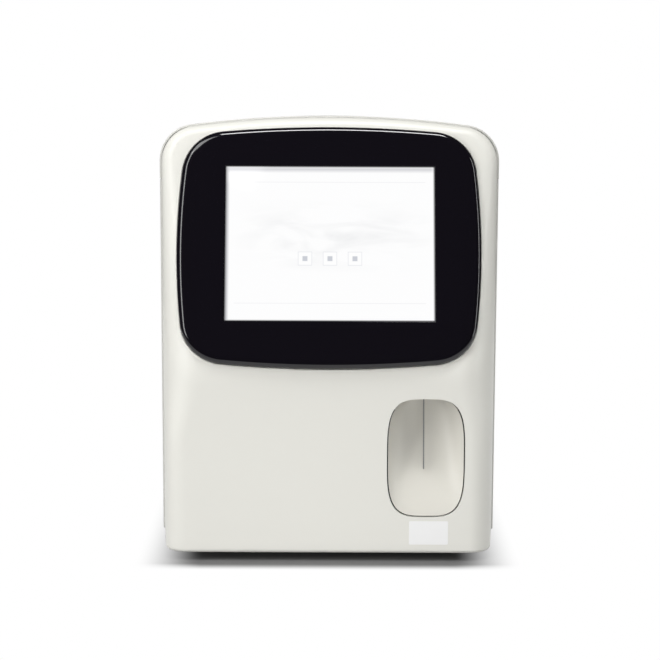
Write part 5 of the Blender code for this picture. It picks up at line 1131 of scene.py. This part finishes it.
@dataclass
class FrontHousing(SubAssembly):
    """The moulded front cover, the lip of its window and the strip behind its seam."""

    wall: float = 0.0030
    fit: float = 0.0004
    weld: float = 0.000001
    fillet_steps: int = 22
    bottom_steps: int = 10
    columns: int = 24
    oval_reach: float = 0.01
    foot_x: float = 0.1180
    foot_y: float = FRONT_Y + 0.0420
    foot_z: float = 0.006
    foot_room: float = 0.0138
    foot_depth: float = 0.02
    foot_sides: int = 48
    lip: float = 0.0007
    lip_sides: int = 12
    lip_sunk_share: float = 0.35
    lip_out_share: float = 0.6
    ray_start: float = 0.05
    ray_length: float = 0.2
    tongue_inset: float = 0.0005
    tongue: float = 0.0010

    def shell(self) -> bpy.types.Object:
        """Make the cover's outer skin, before its openings.

        Returns:
            The skin.
        """
        half = FORM.outline()
        angles = spread(math.pi / 2, FORM.draft, self.fillet_steps)
        draft = MeshDraft()
        rows = []
        for angle in angles:
            *right, crest = FORM.ring(half, angle)
            rows.append(draft.row(mirrored(right, crest)))
        rows.append(draft.row(mirrored([(x, SEAM_Y, z) for x, z, _ in half], (0.0, SEAM_Y, FORM.height))))
        draft.skin(rows)
        face, count = rows[0], len(half)
        lines = []
        for index in range(count):
            left, right = face[-1 - index], face[index]
            inner = [left.co.lerp(right.co, step / self.columns) for step in range(1, self.columns)]
            lines.append([left] + draft.row(inner) + [right])
        draft.skin(lines)
        for near, far in zip(lines[-1], lines[-1][1:]):
            draft.mesh.faces.new((near, far, face[count]))
        lean = [(math.cos(angle), -math.sin(angle)) for angle in angles] + [(1.0, 0.0)]
        edge = [(row[-1], (-normal[0], normal[1])) for row, normal in zip(rows[::-1], lean[::-1])]
        edge += [(vert, (0.0, -1.0)) for vert in lines[0][1:-1]]
        edge += [(row[0], normal) for row, normal in zip(rows, lean)]
        belts = [[vert for vert, _ in edge]]
        for cosine, sine in quarter_turn(self.bottom_steps)[1:]:
            inset, drop = FORM.bottom_fillet * (1 - cosine), FORM.bottom_fillet * sine
            belts.append(draft.row([(vert.co.x - n[0] * inset, vert.co.y - n[1] * inset, vert.co.z - drop)
                                    for vert, n in edge]))
        draft.skin(belts)
        draft.mesh.faces.new(belts[-1])
        bmesh.ops.remove_doubles(draft.mesh, verts=draft.mesh.verts, dist=self.weld)
        return self.place("front_shell", draft, "housing", angle=50.0)

    def openings(self) -> list[MeshDraft]:
        """Draft what is cut out: the window, the key's oval and the room round the front feet.

        Returns:
            The drafts.
        """
        window, oval, feet = MeshDraft(), MeshDraft(), MeshDraft()
        window.loft([BEZEL.ring(0.0, out, self.fit) for out in (-FORM.blend_radius, FORM.blend_radius)])
        oval.loft([[(KEY.x + x, FRONT_Y + y, KEY.z + z) for x, z in KEY.oval()]
                   for y in (-self.oval_reach, self.oval_reach)])
        for side in (-1, 1):
            place = Matrix.Translation((side * self.foot_x, self.foot_y, self.foot_z))
            bmesh.ops.create_cone(feet.mesh, cap_ends=True, segments=self.foot_sides, radius1=self.foot_room,
                                  radius2=self.foot_room, depth=self.foot_depth, matrix=place)
        return [window, oval, feet]

    def build(self) -> None:
        """Make the cover and its trim."""
        cover = self.shell()
        surface = BVHTree.FromObject(cover, bpy.context.evaluated_depsgraph_get())
        add_wall(cover, self.wall)
        cut_with(cover, self.openings())
        settle(cover, Body.CASE, "housing", "front_cover")
        path = []
        for x, v, n in BEZEL.points(self.fit):
            start = FORM.on_face(x, BEZEL.bottom + BEZEL.height / 2 + v, self.ray_start)
            hit = surface.ray_cast(start, -FORM.normal, self.ray_length)[0]
            if hit is not None:
                outward = Vector((n[0], 0.0, n[1])) * self.lip * self.lip_out_share
                path.append(hit + FORM.normal * (-self.lip * self.lip_sunk_share) + outward)
        lip = build_bead_recipe().run("window_lip", path, self.finishes["housing"], closed=True,
                                      Radius=self.lip, Sides=self.lip_sides)
        settle(lip, Body.CASE, "housing")
        outline, rows = FORM.outline(), []
        draft = MeshDraft()
        far = self.tongue_inset + self.tongue
        for inset, y in ((self.tongue_inset, SEAM_Y), (self.tongue_inset, CASE_FRONT_Y),
                         (far, CASE_FRONT_Y), (far, SEAM_Y)):
            half = [(x - n[0] * inset, y, z - n[1] * inset) for x, z, n in outline]
            rows.append(draft.row(mirrored(half, (0.0, y, FORM.height - inset))))
        draft.skin(rows + rows[:1])
        for end in (0, -1):
            draft.mesh.faces.new([row[end] for row in rows])
        settle(self.place("seam_tongue", draft, "housing", angle=40.0), Body.CASE, "housing")


@dataclass
class DisplayUnit(SubAssembly):
    """The gloss surround and the touch panel in its window."""

    proud: float = 0.00666
    sunk: float = 0.0050
    edge_depth: float = 0.0050
    edge_width: float = 0.0085
    steps: int = 14
    screen: tuple[float, float] = (0.2112, 0.158404)
    screen_bottom: float = 0.0480
    offset: float = 0.0010
    margin: float = 0.0010
    play: float = 0.0003
    glass: float = 0.0018
    recess: float = 0.0004
    seat_margin: float = 0.0127
    overrun: float = 0.02

    def pane(self, grow: float, *outs: float) -> MeshDraft:
        """Draft a plate round the lit area, parallel to the leaning plane.

        Args:
            grow: how far outside the lit area.
            *outs: the plate's back and front, as distances from the plane.

        Returns:
            The draft.
        """
        left, right = self.offset - self.screen[0] / 2 - grow, self.offset + self.screen[0] / 2 + grow
        low, high = self.screen_bottom - grow, self.screen_bottom + self.screen[1] + grow
        draft = MeshDraft()
        corners = ((left, low), (right, low), (right, high), (left, high))
        draft.loft([[FORM.on_face(x, v, out) for x, v in corners] for out in outs])
        return draft

    def build(self) -> None:
        """Make the surround and the panel."""
        draft = MeshDraft()
        draft.loft([BEZEL.ring(0.0, -self.sunk)] + [
            BEZEL.ring(self.edge_width * (1 - cosine), self.proud - self.edge_depth * (1 - sine))
            for cosine, sine in quarter_turn(self.steps)])
        bezel = self.place("bezel_shell", draft, "bezel", angle=40.0)
        front = self.proud - self.recess
        back = front - self.glass
        cut_with(bezel, [self.pane(self.margin + self.play, back - self.play, self.overrun),
                         self.pane(self.seat_margin, -self.overrun, back)])
        soften(bezel, Edge.FINE.value, angle=60.0)
        settle(bezel, Body.CASE, "bezel", "display_bezel")
        panel = self.place("touch_panel", self.pane(self.margin, back, front), "touch_glass")
        soften(panel, Edge.FINE.value)
        layer = panel.data.uv_layers.new(name="panel")
        slope = Vector((0.0, math.sin(FORM.lean), math.cos(FORM.lean)))
        start = FORM.on_face(self.offset - self.screen[0] / 2, self.screen_bottom, 0.0)
        for loop in panel.data.loops:
            spot = panel.data.vertices[loop.vertex_index].co - start
            layer.data[loop.index].uv = (spot.x / self.screen[0], spot.dot(slope) / self.screen[1])
        settle(panel, Body.CASE, "touch_glass", "touch_glass")


@dataclass
class AspirateKey(SubAssembly):
    """The dished key plate with its rounded edge and hinge ears, and a dark rubber strip behind its gap,
    which is painted shade.
    """

    skin: float = 0.0035
    rows: int = 64
    columns: int = 48
    edge: float = 0.0002
    ear_x: float = 0.0230
    ear: float = 0.0040
    ear_half: float = 0.0034
    root_share: float = 0.8
    hinge_y: float = FRONT_Y + 0.0160
    hinge_z: float = 0.1870
    # The dark strip behind the key's gap is painted shade.
    gap_shade: float = 0.0012
    gap_shade_depths: tuple[float, float] = (0.0036, 0.0046)
    gap_shade_share: float = 0.86

    def gap_shade_sections(self) -> list[list[Point]]:
        """The sections of the dark strip that closes the gap from behind, painted shade that keeps the gap
        dark; open at the top.

        Returns:
            The sections, round from the top.
        """
        outer, inner = KEY.oval(self.gap_shade), KEY.oval(-KEY.gap)
        near, far = (FRONT_Y + depth for depth in self.gap_shade_depths)
        quarter = KEY.sides // 4
        sections = []
        for step in range(quarter, quarter + KEY.sides):
            (x, z), (u, w) = outer[step % KEY.sides], inner[step % KEY.sides]
            if z < KEY.half_height * self.gap_shade_share:
                sections.append([(KEY.x + x, near, KEY.z + z), (KEY.x + x, far, KEY.z + z),
                                 (KEY.x + u, far, KEY.z + w), (KEY.x + u, near, KEY.z + w)])
        return sections

    def build(self) -> None:
        """Make the plate with its ears, and the dark strip behind its gap, which is painted shade."""
        half_width, half_height = KEY.half_width - KEY.gap, KEY.half_height - KEY.gap
        draft = MeshDraft()
        lines = []
        for row in range(self.rows + 1):
            share = -math.cos(math.pi * (row + 0.5) / (self.rows + 1))
            half, z = half_width * KEY.room(share), half_height * share
            across = [half * math.sin(math.pi / 2 * (2 * column / self.columns - 1))
                      for column in range(self.columns + 1)]
            lines.append(draft.row([(KEY.x + x, FRONT_Y + KEY.dish(x, z), KEY.z + z) for x in across]))
        draft.skin(lines)
        moved = bmesh.ops.extrude_face_region(draft.mesh, geom=draft.mesh.faces[:])["geom"]
        rear = [item for item in moved if isinstance(item, bmesh.types.BMVert)]
        bmesh.ops.translate(draft.mesh, verts=rear, vec=(0.0, self.skin, 0.0))
        root_z = KEY.z + KEY.half_height * self.root_share
        root_y = FRONT_Y + KEY.dish(self.ear_x, root_z - KEY.z) + self.skin / 2
        near, far = self.hinge_y - self.ear_half, self.hinge_y + self.ear_half
        top = self.hinge_z + self.ear_half
        profile = [(near, self.hinge_z), (near, top), (far, top), (far, self.hinge_z),
                   (root_y + 2 * self.ear_half, root_z), (root_y, root_z)]
        for side in (-1, 1):
            x = KEY.x + side * self.ear_x
            draft.loft([[(x + half, y, z) for y, z in profile] for half in (-self.ear / 2, self.ear / 2)])
        plate = self.place("key_plate", draft, "key", angle=50.0)
        soften(plate, self.edge, angle=55.0)
        settle(plate, Body.KEY, "key", "aspirate_key")
        # A dark rubber strip behind the gap: painted shade that keeps the gap dark.
        gap_shade = MeshDraft()
        gap_shade.loft(self.gap_shade_sections())
        settle(self.place("key_gap_shade", gap_shade, "rubber", angle=40.0), Body.KEY, "rubber")


@dataclass
class CaseTop(SubAssembly):
    """The crowned top of the rear casing."""

    half_width: float = 0.1765
    height: float = 0.4505
    split: float = 0.3850
    fall: float = 0.0100
    lip: float = 0.0008
    step_in: float = 0.0020
    rear_round: float = 0.0040
    wall: float = 0.0025
    lip_steps: int = 6
    length_steps: int = 8
    rear_steps: int = 7

    def arch_at(self, y: float, inset: float) -> list[Point]:
        """The arch at one depth.

        Args:
            y: the depth.
            inset: how far inside the full size.

        Returns:
            Its points, from the right side over to the left.
        """
        fall = self.fall * (y - SEAM_Y) / (REAR_Y - SEAM_Y)
        half = [(self.half_width, self.split, (1.0, 0.0))] + FORM.arch(self.half_width, self.height)
        right = [(x - n[0] * inset, y, z - n[1] * inset - max(n[1], 0.0) * fall) for x, z, n in half]
        return mirrored(right, (0.0, y, self.height - inset - fall))

    def build(self) -> None:
        """Make the top, from its front lip to its rounded rear edge."""
        stations = [(CASE_FRONT_Y + self.lip * (1 - cosine), self.step_in * (1 - sine))
                    for cosine, sine in quarter_turn(self.lip_steps)]
        lengths = spread(CASE_FRONT_Y + self.lip, REAR_Y - self.rear_round, self.length_steps)
        stations += [(y, 0.0) for y in lengths[1:]]
        stations += [(REAR_Y - self.rear_round * (1 - sine), self.rear_round * (1 - cosine))
                     for cosine, sine in quarter_turn(self.rear_steps)[1:-1]]
        draft = MeshDraft()
        draft.skin([draft.row(self.arch_at(y, inset)) for y, inset in stations])
        top = self.place("case_top", draft, "casing", angle=50.0)
        highest = max(top.data.polygons, key=lambda polygon: polygon.center.z)
        if highest.normal.z < 0:
            top.data.flip_normals()
        add_wall(top, self.wall)
        apply_modifiers(top)
        settle(top, Body.CASE, "housing", "top_cover")


@dataclass(frozen=True)
class PlainPieces:
    """CAD nodes that keep their form and share a finish and the softness of their edges."""

    finish: str
    nodes: tuple[str, ...]
    edge: Edge = Edge.FINE
    slot: str | None = None


@dataclass
class Workings(SubAssembly):
    """The panels, chassis, sampling, dosing, fluid and electronic pieces that keep the solids' forms."""

    pieces: tuple[PlainPieces, ...] = (
        PlainPieces("painted_sheet", ("left_panel", "right_door"), Edge.FOLDED),
        PlainPieces("painted_sheet", ("rear_panel",), Edge.SHARP),
        PlainPieces("key", ("key_bracket",), Edge.SHARP),
        # The probe's darker steel is painted shade.
        PlainPieces("needle_steel_painted_shade", ("sample_probe",), Edge.SHARP, "steel"),
        PlainPieces("steel", ("key_spring", "fan_guard"), Edge.SHARP),
        PlainPieces("steel", ("key_pin", "guide_rod_left", "guide_rod_right", "lift_screw", "sample_plunger",
                              "diluent_plunger", "sample_screw", "diluent_screw")),
        PlainPieces("black_plastic", ("key_switch", "power_inlet", "switch_frame", "power_rocker",
                                      "fan_frame", "fan_rotor")),
        PlainPieces("black_plastic", ("lift_motor", "sample_motor", "diluent_motor"), Edge.SHARP),
        PlainPieces("black_plastic", ("waste_pump",), Edge.MACHINED),
        PlainPieces("black_plastic", ("door_catch",), Edge.FOLDED),
        PlainPieces("aluminium", ("probe_carriage", "bath_bracket")),
        PlainPieces("aluminium", ("syringe_frame", "power_supply"), Edge.MACHINED),
        PlainPieces("white_polymer", ("probe_wipe", "pump_rotor")),
        PlainPieces("white_polymer", ("valve_manifold",), Edge.MACHINED),
        PlainPieces("white_polymer", ("vacuum_chamber",), Edge.MOULDED),
        PlainPieces("zinc_sheet", ("sampling_frame", "lcd_module", "display_bracket", "door_hinge_lower",
                                   "door_hinge_upper")),
        PlainPieces("zinc_sheet", ("base_plate", "partition_wall", "door_post"), Edge.SHARP),
        PlainPieces("rubber", ("foot_front_left", "foot_front_right", "foot_rear_left", "foot_rear_right"),
                    Edge.MOULDED),
        PlainPieces("clear_plastic", ("sample_barrel", "diluent_barrel", "wbc_bath", "rbc_bath"), Edge.SHARP),
        PlainPieces("blue_plastic", ("diluent_port",)),
        PlainPieces("yellow_plastic", ("lyse_port",)),
        PlainPieces("red_plastic", ("waste_port",)),
        PlainPieces("io_board", ("io_board",), Edge.SHARP, "board_green"),
        PlainPieces("main_board", ("main_board",), Edge.SHARP, "board_green"),
    )

    def build(self) -> None:
        """Dress every piece."""
        riding = {"right_door": Body.DOOR, "sample_probe": Body.PROBE, "probe_carriage": Body.PROBE,
                  "lift_screw": Body.LIFT_SCREW, "sample_plunger": Body.SAMPLE_PLUNGER,
                  "diluent_plunger": Body.DILUENT_PLUNGER, "sample_screw": Body.SAMPLE_SCREW,
                  "diluent_screw": Body.DILUENT_SCREW, "power_rocker": Body.ROCKER, "fan_rotor": Body.FAN,
                  "pump_rotor": Body.PUMP}
        for group in self.pieces:
            for node in group.nodes:
                piece = copy_node(node, self.finishes[group.finish], group.edge)
                settle(piece, riding.get(node, Body.CASE), group.slot or group.finish, node)


@dataclass(frozen=True)
class ScrewSet:
    """Like screws in the rear: their places (x, z), how far out their seat lies, and their size."""

    name: str
    places: tuple[tuple[float, float], ...]
    seat: float
    radius: float
    height: float
    seed: int


@dataclass
class Fasteners(SubAssembly):
    """Pan-head screws in the rear panel and round the fan and the inlet."""

    edge_x: float = 0.1560
    edge_heights: tuple[float, ...] = (0.0350, 0.1300, 0.2450, 0.3600)
    top_height: float = 0.4180
    top_places: tuple[float, ...] = (-0.080, 0.0, 0.080)
    fan: tuple[float, float] = (-0.0950, 0.3000)
    fan_reach: float = 0.0358
    inlet: tuple[float, float] = (-0.1180, 0.0700)
    inlet_reach: float = 0.0200

    def sets(self) -> list[ScrewSet]:
        """Lay out the screws.

        Returns:
            One set for each size.
        """
        sides = (-1, 1)
        edge = [(side * self.edge_x, z) for side in sides for z in self.edge_heights]
        edge += [(x, self.top_height) for x in self.top_places]
        fan = [(self.fan[0] + a * self.fan_reach, self.fan[1] + b * self.fan_reach)
               for a in sides for b in sides]
        inlet = [(self.inlet[0] + side * self.inlet_reach, self.inlet[1]) for side in sides]
        return [ScrewSet("panel_screws", tuple(edge), seat=0.0002, radius=0.0030, height=0.0018, seed=3),
                ScrewSet("fan_screws", tuple(fan), seat=0.0019, radius=0.0028, height=0.0016, seed=5),
                ScrewSet("inlet_screws", tuple(inlet), seat=0.0023, radius=0.0024, height=0.0014,
                         seed=9)]

    def build(self) -> None:
        """Make the screws, one piece for each size."""
        recipe = build_screw_recipe()
        for group in self.sets():
            points = [(x, REAR_PANEL_Y + group.seat, z) for x, z in group.places]
            piece = recipe.run(group.name, points, self.finishes["steel"], Radius=group.radius,
                               Height=group.height, Seed=group.seed)
            settle(piece, Body.CASE, "steel")


@dataclass
class BarrelScales(SubAssembly):
    """Printed graduations on the two syringe barrels: for each its name, Y, radius and mark's width."""

    x: float = 0.0740
    low: float = 0.2320
    count: int = 21
    pitch: float = 0.0030
    thickness: float = 0.0002
    sink: float = 0.0001
    barrels: tuple[tuple[str, float, float, float], ...] = (
        ("sample_scale", -0.0700, 0.0060, 0.0034), ("diluent_scale", -0.0300, 0.0120, 0.0060))

    def build(self) -> None:
        """Make the marks on the side towards the door."""
        recipe = build_scale_recipe()
        for name, y, radius, width in self.barrels:
            spot = [(self.x + radius + self.sink, y, self.low)]
            marks = recipe.run(name, spot, self.finishes["black_plastic"], Count=self.count,
                               Pitch=self.pitch, Width=width, Thickness=self.thickness)
            settle(marks, Body.CASE, "black_plastic")


@dataclass
class BlankLabel(SubAssembly):
    """The bare white label under the aspirate key."""

    left: float = 0.0827
    right: float = 0.1226
    low: float = 0.0176
    high: float = 0.0421
    clear: float = 0.00002
    thickness: float = 0.00015
    corner: float = 0.0012
    corner_steps: int = 6

    def build(self) -> None:
        """Make the label on the upright part of the front."""
        left, right = self.left + self.corner, self.right - self.corner
        low, high = self.low + self.corner, self.high - self.corner
        outline = []
        for turn, (x, z) in enumerate(((right, high), (left, high), (left, low), (right, low))):
            first = turn * math.pi / 2
            outline += arc(x, z, self.corner, first, first + math.pi / 2, self.corner_steps)
        draft = MeshDraft()
        draft.loft([[(x, FRONT_Y - out, z) for x, z, _ in outline] for out in (self.clear, self.thickness)])
        settle(self.place("blank_label", draft, "label"), Body.CASE, "white_polymer")


# Stage
@dataclass(frozen=True)
class SoftLamp:
    """A soft rectangular lamp, with its power in watts and whether glossy surfaces show it."""

    name: str
    place: Point
    size: tuple[float, float]
    power: float
    aim: Point = (0.0, 0.0, 0.22)
    mirrored: bool = True

    def hang(self) -> None:
        """Put the lamp in the scene."""
        data = bpy.data.lights.new(self.name, "AREA")
        data.shape = "RECTANGLE"
        data.size, data.size_y = self.size
        data.energy = self.power
        lamp = link(bpy.data.objects.new(self.name, data))
        lamp.location = self.place
        lamp.rotation_euler = (Vector(self.aim) - Vector(self.place)).to_track_quat("-Z", "Y").to_euler()
        lamp.visible_glossy = self.mirrored


@dataclass
class Studio:
    """A pale floor and backdrop, with painted shade in the floor's dark grey near the object, soft lamps and
    the photograph's camera.
    """

    camera_place: Point = (0.0013, FRONT_Y - 1.7855, 0.5076)
    pitch: float = math.radians(-8.549)
    roll: float = math.radians(0.209)
    lens: float = 98.03
    sensor: float = 36.0
    floor_half: float = 1.8
    floor_front: float = 0.60
    # The floor's dark grey is painted shade: where the floor shows near the object it deepens the contact
    # shadow.
    floor_shade_colour: Colour = (0.17, 0.17, 0.17)
    floor_shine: float = 0.12
    shadow_half: tuple[float, float] = (0.164, 0.238)
    shadow_fade: float = 0.024
    shadow_stretch: float = 0.35
    white: Colour = (1.0, 1.0, 1.0)
    fill: float = 0.22
    room: float = 0.03
    lamps: tuple[SoftLamp, ...] = (
        SoftLamp("left_bank", (-1.75, -0.95, 0.45), (1.2, 0.8), 12.5, (0.0, 0.0, 0.10), False),
        SoftLamp("left_strip", (-1.40, -1.39, 1.10), (0.34, 1.7), 12.0),
        SoftLamp("corner_strip", (-0.85, -0.95, 1.80), (0.9, 0.5), 7.0),
        SoftLamp("front_fill", (1.1, -2.30, 0.45), (1.0, 0.5), 6.5, mirrored=False),
        SoftLamp("low_fill", (0.0, FRONT_Y - 0.50, 0.015), (0.5, 0.020), 0.80, (0.0, FRONT_Y, 0.08), False),
        SoftLamp("right_strip", (1.50, -0.75, 0.75), (0.10, 1.5), 5.0),
        SoftLamp("right_rim", (1.49, 0.30, 0.66), (0.4, 1.2), 4.0, mirrored=False),
        SoftLamp("rear_fill", (0.8, 2.4, 0.9), (1.2, 0.9), 16.0, mirrored=False),
        SoftLamp("overhead", (0.10, -0.57, 1.95), (0.9, 0.25), 14.5, (0.0, -0.1, 0.40)),
    )

    def camera(self) -> None:
        """Put the camera at the photograph's viewpoint."""
        data = bpy.data.cameras.new("camera")
        data.sensor_width = self.sensor
        data.lens = self.lens
        forward = Vector((0.0, math.cos(self.pitch), math.sin(self.pitch)))
        upward = Vector((0.0, -math.sin(self.pitch), math.cos(self.pitch)))
        right = Vector((1.0, 0.0, 0.0))
        across = right * math.cos(self.roll) + upward * math.sin(self.roll)
        above = upward * math.cos(self.roll) - right * math.sin(self.roll)
        turn = Matrix((across, above, -forward)).transposed().to_4x4()
        camera = link(bpy.data.objects.new("camera", data))
        camera.matrix_world = Matrix.Translation(self.camera_place) @ turn
        bpy.context.scene.camera = camera

    def floor(self) -> None:
        """Lay the floor, which fades to the plain white of the background away from the object; near it the
        floor's dark grey is painted shade that deepens the contact shadow.
        """
        side, front = self.floor_half, FRONT_Y - self.floor_front
        draft = MeshDraft()
        draft.mesh.faces.new(draft.row([(-side, front, 0.0), (side, front, 0.0), (side, side, 0.0),
                                        (-side, side, 0.0)]))
        surface = Surface("floor")
        grain = surface.use(GRAIN, Grain=400.0, Roughness=0.45, Gloss_Change=0.02)
        # The dark grey base colour is painted shade near the object.
        surface.dress(Base_Color=self.floor_shade_colour, Roughness=grain["Roughness"],
                      Specular_IOR_Level=self.floor_shine)
        squeezed = surface.add("ShaderNodeMapping", {"Vector": surface.place(),
                                                     "Scale": (self.shadow_stretch, 1.0, 1.0)})
        half = (self.shadow_half[0] * self.shadow_stretch, self.shadow_half[1])
        near = SoftTile((0.0, 0.0), half, self.floor_shade_colour, self.shadow_fade).mask(surface, squeezed)
        fade = surface.add("ShaderNodeMapRange", {"Value": near, "To Min": 1.0, "To Max": 0.0},
                           interpolation_type="SMOOTHSTEP")
        rays = surface.add("ShaderNodeLightPath").outputs
        seen = surface.math("MAXIMUM", rays["Is Camera Ray"], rays["Is Glossy Ray"])
        seen = surface.math("MAXIMUM", seen, rays["Is Transmission Ray"])
        glow = surface.add("ShaderNodeEmission", {"Color": self.white, "Strength": 1.0})
        share = surface.math("MULTIPLY", fade, seen)
        mixed = surface.add("ShaderNodeMixShader", {0: share, 1: surface.shader, 2: glow})
        surface.feed(surface.tree.nodes["Material Output"], {"Surface": mixed})
        place_mesh("floor", draft.data("floor"), surface.material)

    def world(self) -> None:
        """A white world for the eye, a soft grey one for light and a dark room for reflections."""
        world = bpy.data.worlds.new("studio")
        bpy.context.scene.world = world
        world.use_nodes = True
        world.node_tree.nodes.clear()
        nodes = Nodes(world.node_tree)
        rays = nodes.add("ShaderNodeLightPath").outputs
        seen = nodes.math("MAXIMUM", rays["Is Camera Ray"], rays["Is Transmission Ray"])
        light = nodes.add("ShaderNodeMapRange", {"Value": rays["Is Glossy Ray"], "To Min": self.fill,
                                                 "To Max": self.room})
        strength = nodes.add("ShaderNodeMapRange", {"Value": seen, "To Min": light, "To Max": 1.0})
        sky = nodes.add("ShaderNodeBackground", {"Color": self.white, "Strength": strength})
        nodes.add("ShaderNodeOutputWorld", {"Surface": sky})

    def build(self) -> None:
        """Set the stage."""
        self.camera()
        self.floor()
        self.world()
        for lamp in self.lamps:
            lamp.hang()
        bpy.context.scene.view_settings.view_transform = "Standard"


def main() -> None:
    """Build the analyzer's looks on its stage."""
    Studio().build()
    finishes = Finishes()
    for part in (FrontHousing, DisplayUnit, AspirateKey, CaseTop, Workings, Fasteners, BarrelScales,
                 BlankLabel):
        part(finishes).build()


if __name__ == "__main__":
    main()
